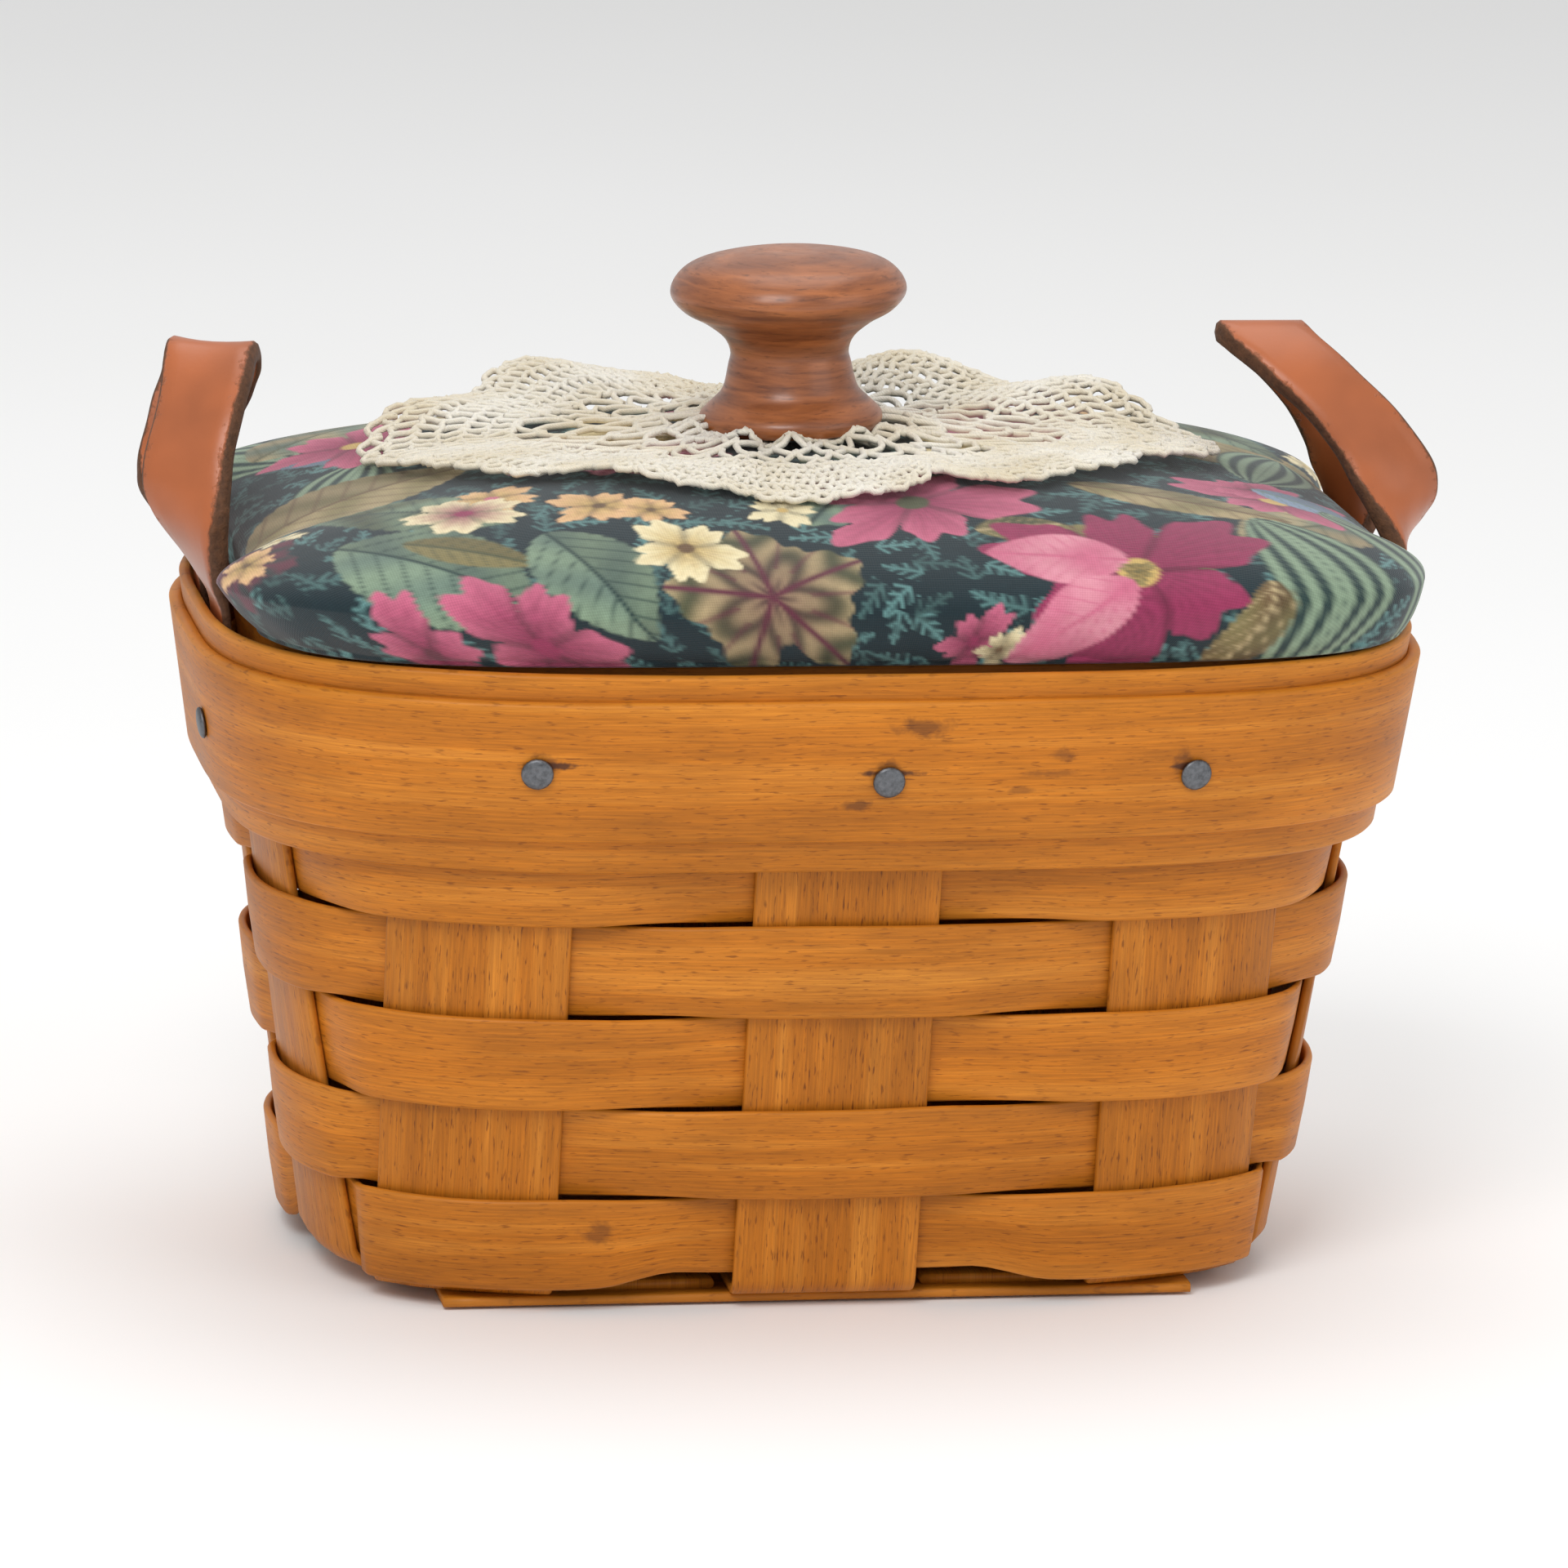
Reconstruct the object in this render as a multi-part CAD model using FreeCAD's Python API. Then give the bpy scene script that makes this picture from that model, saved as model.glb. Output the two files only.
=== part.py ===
"""Woven maple-splint sewing basket with a padded, fabric-covered lift-off lid.

Millimetres, +Z up. The origin is on the table, under the centre of the basket.
X runs left to right (the long way), Y runs front to back.
"""

import FreeCAD, Part

import math
import os
from collections import namedtuple

Vec = FreeCAD.Vector

# ---- driving dimensions -------------------------------------------------------------

# The basket's outside at the rim, measured over the trim strip
rim_width = 165.0
rim_depth = 119.8
rim_height = 88.7
side_flare = 0.14             # outward lean of the left and right walls, mm per mm
front_flare = 0.18            # outward lean of the front and back walls, mm per mm
corner_power = 3.5            # superellipse power of the plan: 2 is an ellipse, more is squarer

# Uprights (stakes): flat splints that run up one wall, under the base and up the other
stake_thickness = 1.3
stake_drop = 4.2              # tops of the stakes, below the rim
front_stake_width = 24.5
corner_setback = 16.592       # an outer front stake's middle, inside the end of the base
side_stake_width = 22.0
side_stake_pitch = 30.0
base_bend_radius = 2.6        # to the middle of the splint

# Weavers: the horizontal rows
weaver_thickness = 1.1
row_pitch = 12.75
row_height = 12.7
lowest_row_bottom = 2.8
weave_clearance = 0.12
base_clearance = 0.5          # of the lowest row, where it passes over the base splints
crossing_margin = 0.3         # a weaver stays bowed this far past a stake's edge
front_bulge = 0.45            # how far a weaver stands off the middle of a front stake
side_bulge = 0.6
butt_gap = 0.6                # between a row's two ends

# Base splints that do not turn up
filler_width = 20.0
brace_overlap = 2.4           # a brace runs on this far past an outer stake's middle
front_brace_width = 15.0
centre_brace_width = 20.0
brace_setback = 2.2           # front brace's edge, inside the wall's middle surface

# Rim bands
band_thickness = 1.5
band_height = 26.9
trim_thickness = 1.8
trim_height = 19.0
trim_drop = 3.4               # top of the trim strip below the rim
inner_band_thickness = 1.5
inner_band_height = 22.0
band_clearance = 0.12

# Tacks
tack_head_diameter = 4.2
tack_head_thickness = 0.7
tack_shank_diameter = 1.3
tack_hole_clearance = 0.05    # on the radius
tack_hole_margin = 3.0        # a tack hole's cutter runs on this far at each end
tack_drop = 13.4              # below the rim
front_tack_shifts = (6.8, 3.3, -4.9)    # how far right of its stake's middle each front tack is
front_tack_rises = (1.6, 0.4, 0.5)      # how far above the others each front tack is
tack_point_margin = 0.4       # the point stops this far short of the inside

# Leather ears
ear_width = 12.7
ear_thickness = 2.8
ear_foot_thickness = 1.3      # skived so that it tucks behind the band
ear_foot_spread = 24.0        # centre to centre of the two feet
ear_foot_depth = 21.5         # below the rim
ear_foot_twist = 2.0          # degrees, so that the foot follows the wall's curve
ear_free_drop = 4.0           # the foot starts to leave the wall this far below the rim
ear_rise = 32.0               # from the rim to the crest's middle surface
ear_overhang = 3.15           # inner edge of the twisted legs, inside the middle of the feet
ear_clearance = 0.25
right_ear_lean = 15.0         # inward, at the crest
ear_lean_power = 2.6          # higher keeps the lean nearer the crest
right_ear_extra_rise = 2.5

# Lid
lid_gap = 0.35                # between the lid's underside and the rim
lid_inset = 4.6               # of the lid's widest line, inside the trim at the rim
lid_corner_power = 4.6        # superellipse power of the lid's outline
lid_shift = 0.8               # the lid sits this far to the right on the rim
board_thickness = 4.0
cover_thickness = 0.7
ear_dent = 2.7                # the pad's ends are pressed in this far beside the ears
ear_dent_margin = 0.8         # the pressed part runs on this far past the feet
ear_dent_fade = 13.0          # and then fades over this length
hem_depth = 17.0              # how far the cover is turned under the board
board_edge_inset = 1.4        # the board's edge, inside the pad's widest line
bulge_height = 6.6            # widest line of the pad, above the board's underside
crown_height = 18.4           # top of the pad above the board's underside
crown_power = 1.15            # 1 is an elliptical crown, more is flatter towards the top
hole_margin = 5.0             # a screw hole's cutter runs on this far at each end
liner_thickness = 3.0
liner_clearance = 1.0         # all round, inside the inner band
liner_screw_diameter = 3.0
liner_screw_head_diameter = 5.6
liner_screw_head_height = 1.6
liner_screw_length = 6.0
liner_screw_x = 45.0
liner_screw_y = 24.0

# Knob and its fastening
knob_diameter = 31.4
knob_height = 23.6
knob_neck_diameter = 15.8
knob_base_diameter = 24.4
knob_lean = 2.4               # degrees, towards -X
knob_shift = -1.4             # knob's place on the lid, along X
screw_diameter = 4.0
screw_clearance = 0.2         # on the radius
screw_head_diameter = 8.0
screw_head_height = 2.4
screw_depth_in_knob = 13.0
washer_diameter = 12.0
washer_thickness = 1.0

# Crochet doily
doily_thickness = 1.4
doily_width = 112.0
doily_depth = 74.0
doily_lift = 0.1
doily_shift_y = 2.0

# ---- sizes that follow --------------------------------------------------------------

stake_top = rim_height - stake_drop
tack_height = rim_height - tack_drop
ear_foot_bottom = rim_height - ear_foot_depth
ear_bulge = ear_width / 2 - ear_overhang          # outward swell of the legs above the rim
row_count = int((stake_top - lowest_row_bottom) // row_pitch)   # the top one is behind the bands
weave_offset = (stake_thickness + weaver_thickness) / 2 + weave_clearance
weave_reach = weave_offset + max(front_bulge, side_bulge) + weaver_thickness / 2
band_inner = weave_reach + band_clearance
band_outer = band_inner + band_thickness
trim_outer = band_outer + trim_thickness
inner_band_outer = -(weave_reach + band_clearance)
inner_band_inner = inner_band_outer - inner_band_thickness
row_zero_bottom = lowest_row_bottom + (row_count - 1) * row_pitch

stake_low = stake_thickness                       # front-back stakes lie on the braces
side_stake_low = stake_low + stake_thickness      # left-right stakes lie on those
base_top = side_stake_low + stake_thickness

board_low = rim_height + lid_gap + cover_thickness
board_top = board_low + board_thickness
pad_top = board_low + crown_height
liner_top = board_low - cover_thickness
liner_low = liner_top - liner_thickness
knob_dip = math.sin(math.radians(knob_lean))      # drop of a leaning disc's edge, per mm of radius
knob_seat = pad_top + cover_thickness + doily_lift + doily_thickness + knob_dip * knob_base_diameter / 2

base_half_x = rim_width / 2 - trim_outer - side_flare * rim_height
front_stake_pitch = base_half_x - corner_setback
brace_length = 2 * (front_stake_pitch + brace_overlap)

tack_hole_radius = tack_shank_diameter / 2 + tack_hole_clearance
screw_hole_radius = screw_diameter / 2 + screw_clearance

PARTS = {}


# ---- the wall's plan ----------------------------------------------------------------

class Plan:
    """The middle surface of the stakes at one height: a superellipse with its arc length."""

    STEPS = 1440

    def __init__(self, z):
        self.z = z
        drop = rim_height - z
        self.half_x = rim_width / 2 - trim_outer - side_flare * drop
        self.half_y = rim_depth / 2 - trim_outer - front_flare * drop
        self.arc = [0.0]
        last = self.at_angle(0.0)
        for step in range(1, self.STEPS + 1):
            here = self.at_angle(2 * math.pi * step / self.STEPS)
            self.arc.append(self.arc[-1] + math.dist(last, here))
            last = here
        self.length = self.arc[-1]

    def at_angle(self, angle):
        return superellipse(self.half_x, self.half_y, angle)

    def arc_of_angle(self, angle):
        place = (angle / (2 * math.pi) % 1.0) * self.STEPS
        step = int(place)
        return self.arc[step] + (place - step) * (self.arc[step + 1] - self.arc[step])

    def point(self, arc, offset=0.0):
        """The plan point at an arc length, moved outward along the plan's normal."""
        arc = arc % self.length
        low, high = 0, self.STEPS
        while high - low > 1:
            middle = (low + high) // 2
            if self.arc[middle] <= arc:
                low = middle
            else:
                high = middle
        share = (arc - self.arc[low]) / (self.arc[high] - self.arc[low])
        x, y = self.at_angle(2 * math.pi * (low + share) / self.STEPS)
        nx, ny = plan_normal(self.half_x, self.half_y, x, y)
        return Vec(x + nx * offset, y + ny * offset, self.z)

    def normal(self, arc):
        return (self.point(arc, 1.0) - self.point(arc, 0.0)).normalize()

    def stake_arcs(self):
        """Arc lengths of the ten uprights' centres, counter-clockwise from the right side."""
        arcs = []
        for stake in STAKES:
            if stake.on_side:
                x = stake.sign * wall_reach(self.half_x, stake.shift / self.half_y)
                y = stake.shift
            else:
                x = stake.shift
                y = stake.sign * wall_reach(self.half_y, stake.shift / self.half_x)
            arcs.append(self.arc_of_angle(math.atan2(y, x)))
        return arcs


def superellipse(half_x, half_y, angle, power=corner_power):
    """The point of a superellipse in the direction of an angle."""
    c, s = math.cos(angle), math.sin(angle)
    reach = (abs(c / half_x) ** power + abs(s / half_y) ** power) ** (-1 / power)
    return reach * c, reach * s


def wall_reach(half, share):
    """How far out a superellipse wall stands, at a share of the way to the next wall."""
    return half * (1 - abs(share) ** corner_power) ** (1 / corner_power)


def plan_normal(half_x, half_y, x, y):
    gx = math.copysign(abs(x / half_x) ** (corner_power - 1) / half_x, x)
    gy = math.copysign(abs(y / half_y) ** (corner_power - 1) / half_y, y)
    size = math.hypot(gx, gy)
    return gx / size, gy / size


# Uprights round the basket, counter-clockwise from the right side's back one. shift is the
# place along the wall, and sign says which of the two walls.
Stake = namedtuple("Stake", "on_side sign shift half")
front_half = front_stake_width / 2
side_half = side_stake_width / 2
side_y = side_stake_pitch / 2
STAKES = [
    Stake(True, 1, side_y, side_half),
    Stake(False, 1, front_stake_pitch, front_half),
    Stake(False, 1, 0.0, front_half),
    Stake(False, 1, -front_stake_pitch, front_half),
    Stake(True, -1, side_y, side_half),
    Stake(True, -1, -side_y, side_half),
    Stake(False, -1, -front_stake_pitch, front_half),
    Stake(False, -1, 0.0, front_half),
    Stake(False, -1, front_stake_pitch, front_half),
    Stake(True, 1, -side_y, side_half),
]
BACK_STAKES = [1, 2, 3]
FRONT_STAKES = [6, 7, 8]
FRONT_CORNER_STAKES = [5, 9]


# ---- solids from outlines -----------------------------------------------------------

def spline(points, closed=False):
    curve = Part.BSplineCurve()
    curve.interpolate(points, PeriodicFlag=closed)
    return curve.toShape()


def sewn_solid(faces):
    shell = Part.Shell(faces)
    shell.sewShape()
    solid = Part.Solid(shell)
    if solid.Volume < 0:
        solid.reverse()
    return solid


def strip_solid(outer_low, outer_high, inner_low, inner_high):
    """A long strip between four lists of points that run along its four long edges."""
    runs = [spline(points) for points in (outer_low, outer_high, inner_high, inner_low)]
    faces = [Part.makeRuledSurface(runs[i], runs[(i + 1) % 4]) for i in range(4)]
    for end in (0, -1):
        low = Part.makeLine(outer_low[end], inner_low[end])
        high = Part.makeLine(outer_high[end], inner_high[end])
        faces.append(Part.makeRuledSurface(low, high))
    return sewn_solid(faces)


def ring_solid(low_z, high_z, inner_offset, outer_offset, count=64):
    """A band round the basket between two offsets from the wall's middle surface."""
    def body(offset):
        wires = []
        for z in (low_z, high_z):
            plan = Plan(z)
            points = [plan.point(plan.length * i / count, offset) for i in range(count)]
            wires.append(Part.Wire(spline(points, closed=True)))
        return Part.makeLoft(wires, True, True)
    return body(outer_offset).cut(body(inner_offset))


def cylinder(start, direction, radius, length):
    return Part.makeCylinder(radius, length, start, direction)


def add(name, shape):
    PARTS[name] = shape


# ---- base splints and uprights ------------------------------------------------------

def stake_solid(index_front, index_back, low_z):
    """One upright: up one wall, round the bend, across the base and up the other wall."""
    half = STAKES[index_front].half
    bend_z = low_z + stake_thickness / 2 + base_bend_radius
    bend_steps = 5
    wall_steps = 5

    def wall_section(index, z, across):
        plan = Plan(z)
        centre = plan.stake_arcs()[index]
        return [(plan.point(centre + side * half), plan.normal(centre + side * half)) for side in across]

    def section_wire(places):
        outer = [p + n * (stake_thickness / 2) for p, n in places]
        inner = [p - n * (stake_thickness / 2) for p, n in places]
        inner.reverse()
        return Part.Wire([
            spline(outer),
            Part.makeLine(outer[-1], inner[0]),
            spline(inner),
            Part.makeLine(inner[-1], outer[0]),
        ])

    def one_wall(index, across, inward):
        """Sections from the stake's top down to the end of the bend."""
        wires = []
        for step in range(wall_steps):
            z = stake_top + (bend_z - stake_top) * step / wall_steps
            wires.append(section_wire(wall_section(index, z, across)))
        foot = wall_section(index, bend_z, across)
        for step in range(bend_steps + 1):
            turn = math.pi / 2 * step / bend_steps
            places = []
            for p, n in foot:
                shift = inward * (base_bend_radius * (1 - math.cos(turn)))
                drop = Vec(0, 0, -base_bend_radius * math.sin(turn))
                normal = n * math.cos(turn) + Vec(0, 0, -1) * math.sin(turn)
                places.append((p + shift + drop, normal))
            wires.append(section_wire(places))
        return wires

    across = [-1, -0.5, 0, 0.5, 1]
    inward = Vec(1, 0, 0) if STAKES[index_front].on_side else Vec(0, 1, 0)
    first = one_wall(index_front, across, inward)
    second = one_wall(index_back, across[::-1], inward * -1)
    return Part.makeLoft(first + second[::-1], True, True)


def make_stakes():
    add("front_back_stake_left", stake_solid(6, 3, stake_low))
    add("front_back_stake_centre", stake_solid(7, 2, stake_low))
    add("front_back_stake_right", stake_solid(8, 1, stake_low))
    add("left_right_stake_front", stake_solid(5, 9, side_stake_low))
    add("left_right_stake_back", stake_solid(4, 0, side_stake_low))


def make_base_fillers():
    """Short splints that close the base: two front to back, three left to right beneath."""
    plan = Plan(stake_low)
    filler_half = plan.half_y - base_bend_radius - brace_setback
    for name, side in (("left", -1), ("right", 1)):
        x = side * front_stake_pitch / 2
        box = Part.makeBox(filler_width, 2 * filler_half, stake_thickness,
                           Vec(x - filler_width / 2, -filler_half, stake_low))
        add("base_filler_" + name, box)
    front_edge = plan.half_y - brace_setback
    for name, middle, width in (
        ("front", -(front_edge - front_brace_width / 2), front_brace_width),
        ("centre", 0.0, centre_brace_width),
        ("back", front_edge - front_brace_width / 2, front_brace_width),
    ):
        box = Part.makeBox(brace_length, width, stake_thickness,
                           Vec(-brace_length / 2, middle - width / 2, 0))
        add("base_brace_" + name, box)


# ---- weaving ------------------------------------------------------------------------

def weave_stations(plan, signs, start):
    """(arc length, offset, share behind) along a row, from one upright's centre right round.

    Over a stake a weaver bows outward, behind one it bows inward, and between two that
    differ it crosses in a smooth curve that leaves each stake at its bow's own slope.
    """
    centres = plan.stake_arcs()
    count = len(centres)
    stations = []
    for k in range(count):
        i = (start + k) % count
        j = (start + k + 1) % count
        here, there = signs[i], signs[j]
        half_i = STAKES[i].half + crossing_margin
        half_j = STAKES[j].half + crossing_margin
        bulge_i = side_bulge if STAKES[i].on_side else front_bulge
        bulge_j = side_bulge if STAKES[j].on_side else front_bulge
        span = (centres[j] - centres[i]) % plan.length
        gap = span - half_i - half_j
        base = centres[i] if i >= start else centres[i] + plan.length

        for share in (0.0, 0.5):
            rise = bulge_i * (1 - share * share)
            stations.append((base + share * half_i, here * (weave_offset + rise), here))
        slope_i = -2 * bulge_i / half_i * here * gap
        slope_j = 2 * bulge_j / half_j * there * gap
        steps = 6 if gap > 15 else 4
        for step in range(steps + 1):
            t = step / steps
            h00 = 2 * t ** 3 - 3 * t ** 2 + 1
            h10 = t ** 3 - 2 * t ** 2 + t
            h01 = -2 * t ** 3 + 3 * t ** 2
            h11 = t ** 3 - t ** 2
            offset = (h00 * here + h01 * there) * weave_offset + h10 * slope_i + h11 * slope_j
            stations.append((base + half_i + t * gap, offset, h00 * here + h01 * there))
        rise = bulge_j * (1 - 0.5 ** 2)
        stations.append((base + span - 0.5 * half_j, there * (weave_offset + rise), there))
    stations.append((base + span, there * (weave_offset + bulge_j), there))
    return stations


def row_solid(low_z, signs, start, lift_behind=0.0):
    """One weaver: an open strip whose two ends meet behind an upright."""
    edges = {}
    for level, z in (("low", low_z), ("high", low_z + row_height)):
        plan = Plan(z)
        stations = weave_stations(plan, signs, start)
        first_arc, last_arc = stations[0][0], stations[-1][0]
        outer, inner = [], []
        for arc, offset, over in stations:
            if arc == first_arc:
                arc += butt_gap / 2
            if arc == last_arc:
                arc -= butt_gap / 2
            lift = lift_behind * min(1.0, max(0.0, 0.6 - over)) if level == "low" else 0.0
            raised = Plan(z + lift) if lift > 0.05 else plan
            arc = arc * raised.length / plan.length
            outer.append(raised.point(arc, offset + weaver_thickness / 2))
            inner.append(raised.point(arc, offset - weaver_thickness / 2))
        edges[level] = (outer, inner)
    return strip_solid(edges["low"][0], edges["high"][0], edges["low"][1], edges["high"][1])


def row_signs(number):
    """+1 where row `number` passes outside an upright, -1 where it passes behind.

    Odd rows (counted down from 1, just under the band) go over the left front stake.
    Row 0, behind the bands, passes inside all the side stakes, where the ears are tucked.
    """
    signs = []
    for i, stake in enumerate(STAKES):
        over = (i % 2 == 0) == (number % 2 == 1)
        if number == 0:
            over = not stake.on_side and i % 2 == 0
        signs.append(1 if over else -1)
    return signs


def make_weavers():
    for number in range(row_count):
        low_z = row_zero_bottom - number * row_pitch
        signs = row_signs(number)
        start = 2 if signs[2] < 0 else 3
        lowest = number == row_count - 1
        lift = base_top + weave_clearance + base_clearance - low_z if lowest else 0.0
        name = "hidden_top_row" if number == 0 else f"weaver_row_{number}"
        add(name, row_solid(low_z, signs, start, lift))


# ---- rim ----------------------------------------------------------------------------

def make_bands():
    trim_top = rim_height - trim_drop
    add("outer_band", ring_solid(rim_height - band_height, rim_height, band_inner, band_outer))
    add("trim_strip", ring_solid(trim_top - trim_height, trim_top, band_outer, trim_outer))
    add("inner_band", ring_solid(rim_height - inner_band_height, rim_height,
                                 inner_band_inner, inner_band_outer))


def tack_axes():
    """(point on the wall's middle surface, outward normal) of every tack."""
    hammered = [(stake, 0.0, 0.0) for stake in BACK_STAKES + FRONT_CORNER_STAKES]
    hammered += zip(FRONT_STAKES, front_tack_shifts, front_tack_rises)
    axes = []
    for stake, shift, rise in hammered:
        height = tack_height + rise
        low, plan, high = Plan(height - 5), Plan(height), Plan(height + 5)
        centre = plan.stake_arcs()[stake] + shift
        along = plan.point(centre + 1) - plan.point(centre - 1)
        upward = high.point(high.stake_arcs()[stake] + shift) - low.point(low.stake_arcs()[stake] + shift)
        axes.append((plan.point(centre), along.cross(upward).normalize()))
    return axes


def make_tacks():
    """Eight tacks through the trim, the bands and the stakes, with their holes."""
    tacks = []
    for place, normal in tack_axes():
        tilt = 1 / math.hypot(normal.x, normal.y)
        outer = trim_outer / tilt
        inner = inner_band_inner / tilt + tack_point_margin
        head = cylinder(place + normal * outer, normal, tack_head_diameter / 2, tack_head_thickness)
        shank = cylinder(place + normal * inner, normal, tack_shank_diameter / 2, outer - inner)
        tacks.append(head.fuse(shank))
        hole = cylinder(place + normal * (inner_band_inner - tack_hole_margin), normal, tack_hole_radius,
                        trim_outer - inner_band_inner + 2 * tack_hole_margin)
        for name, shape in list(PARTS.items()):
            if name in TACKED and shape.BoundBox.intersect(hole.BoundBox):
                PARTS[name] = shape.cut(hole)
    add("tacks", Part.makeCompound(tacks))


TACKED = (
    "trim_strip", "outer_band", "inner_band", "hidden_top_row", "left_ear", "right_ear",
    "front_back_stake_left", "front_back_stake_centre", "front_back_stake_right",
    "left_right_stake_front", "left_right_stake_back",
)


# ---- leather ears -------------------------------------------------------------------

def ear_legs(side, lean, extra_rise):
    """A strap's two legs: up from the rim, a quarter twist, over a peaked crest and down again.

    side is -1 for the left ear and +1 for the right one.
    """
    foot_y = ear_foot_spread / 2
    foot_mid = stake_thickness / 2 + ear_clearance + ear_foot_thickness / 2
    crest_z = rim_height + ear_rise + extra_rise

    def wall_x(z):
        plan = Plan(z)
        return wall_reach(plan.half_x, foot_y / plan.half_y) + foot_mid

    # Up one leg: height above the rim and distance out, as shares, the strap's twist and
    # its lean towards the crest in degrees, and its thickness, from skived foot to full
    leg = [
        (0.03, 1.00, ear_foot_twist, 0, 0.0),
        (0.12, 1.01, 4, 0, 0.4),
        (0.22, 1.03, 12, 0, 0.8),
        (0.32, 1.05, 32, 2, 1.0),
        (0.43, 1.05, 62, 5, 1.0),
        (0.56, 0.98, 86, 14, 1.0),
        (0.72, 0.82, 90, 26, 1.0),
        (0.86, 0.56, 90, 40, 1.0),
        (0.96, 0.26, 90, 62, 1.0),
        (1.00, 0.00, 90, 90, 1.0),
    ]
    rise = crest_z - rim_height
    swell_start = leg[0][0]
    swell_length = 0.9
    stations = []
    for z in (ear_foot_bottom, (ear_foot_bottom + rim_height) / 2, rim_height - ear_free_drop):
        stations.append((wall_x(z), foot_y, z, ear_foot_twist, 0.0, ear_foot_thickness))
    for up, out, twist, travel, full in leg:
        swell = min(1.0, max(0.0, up - swell_start) / swell_length)
        x = wall_x(rim_height) + ear_bulge * math.sin(math.pi * swell) - lean * up ** ear_lean_power
        thick = ear_foot_thickness + (ear_thickness - ear_foot_thickness) * full
        stations.append((x, foot_y * out, rim_height + rise * up, twist, travel, thick))

    def section(x, y, z, twist, travel, thick, front):
        """A rectangle across the strap. Twist turns its width from Y towards X."""
        turn, go = math.radians(twist), math.radians(travel)
        facing = -1 if front else 1
        path = Vec(0, -facing * math.sin(go), math.cos(go))
        width = Vec(math.sin(turn) * side, -facing * math.cos(turn), 0)
        width = (width - path * width.dot(path)).normalize()
        through = path.cross(width)
        centre = Vec(side * x, facing * y, z)
        corners = []
        for a, b in ((-1, -1), (1, -1), (1, 1), (-1, 1)):
            corners.append(centre + width * (a * ear_width / 2) + through * (b * thick / 2))
        return corners

    front_leg = [section(*s, True) for s in stations]
    back_leg = []
    for s in reversed(stations[:-1]):
        a, b, c, d = section(*s, False)
        back_leg.append((a, b, c, d))
    return front_leg, back_leg


def strap_solid(front_leg, back_leg):
    """Joins the two legs' sections, matching each corner to the nearest one before it."""
    sections = [list(corners) for corners in front_leg]
    for corners in back_leg:
        last = sections[-1]
        best = None
        for ordered in (list(corners), list(corners)[::-1]):
            for k in range(4):
                turned = ordered[k:] + ordered[:k]
                cost = sum((p - q).Length for p, q in zip(last, turned))
                if best is None or cost < best[0]:
                    best = (cost, turned)
        sections.append(best[1])
    runs = [spline([corners[k] for corners in sections]) for k in range(4)]
    faces = [Part.makeRuledSurface(runs[k], runs[(k + 1) % 4]) for k in range(4)]
    for end in (0, -1):
        a, b, c, d = sections[end]
        faces.append(Part.makeRuledSurface(Part.makeLine(a, b), Part.makeLine(d, c)))
    return sewn_solid(faces)


def make_ears():
    add("left_ear", strap_solid(*ear_legs(-1, 0.0, 0.0)))
    add("right_ear", strap_solid(*ear_legs(1, right_ear_lean, right_ear_extra_rise)))


# ---- lid ----------------------------------------------------------------------------

lid_half_x = rim_width / 2 - lid_inset
lid_half_y = rim_depth / 2 - lid_inset


def outline(half_x, half_y, z, power, dent=0.0, count=72):
    """A closed outline, pressed in at both ends beside the ears by `dent`."""
    dent_half = ear_foot_spread / 2 + ear_width / 2 + ear_dent_margin
    points = []
    for i in range(count):
        x, y = superellipse(half_x, half_y, 2 * math.pi * i / count, power)
        fade = min(1.0, max(0.0, (abs(y) - dent_half) / ear_dent_fade))
        pressed = dent * (0.5 + 0.5 * math.cos(math.pi * fade)) * (x / half_x) ** 2
        points.append(Vec(x - math.copysign(pressed, x) + lid_shift, y, z))
    return Part.Wire(spline(points, closed=True))


def pad_form(grow):
    """The padded lid's rounded form, grown outward by `grow`."""
    wires = []
    bulge_z = board_low + bulge_height
    levels = 4
    for i in range(levels):
        share = i / levels
        z = board_low - grow + (bulge_z - board_low + grow) * share
        inset = board_edge_inset * (1 - share) ** 2
        wires.append(outline(lid_half_x - inset + grow, lid_half_y - inset + grow, z,
                             lid_corner_power, ear_dent))
    crown = pad_top + grow
    crown_half = knob_base_diameter / 2 + 1
    for turn in (0, 12, 24, 36, 48, 60, 70, 80, 90):
        angle = math.radians(turn)
        z = bulge_z + (crown - bulge_z) * math.sin(angle)
        draw = max(0.0, math.cos(angle)) ** crown_power
        half_x = crown_half + (lid_half_x - crown_half) * draw + grow
        half_y = crown_half + (lid_half_y - crown_half) * draw + grow
        wires.append(outline(half_x, half_y, z, lid_corner_power, ear_dent * draw))
    return Part.makeLoft(wires, True, True)


def slab(half_x, half_y, low_z, high_z):
    """A flat board with the corners of the basket's walls."""
    face = Part.Face(outline(half_x, half_y, low_z, corner_power))
    return face.extrude(Vec(0, 0, high_z - low_z))


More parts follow.
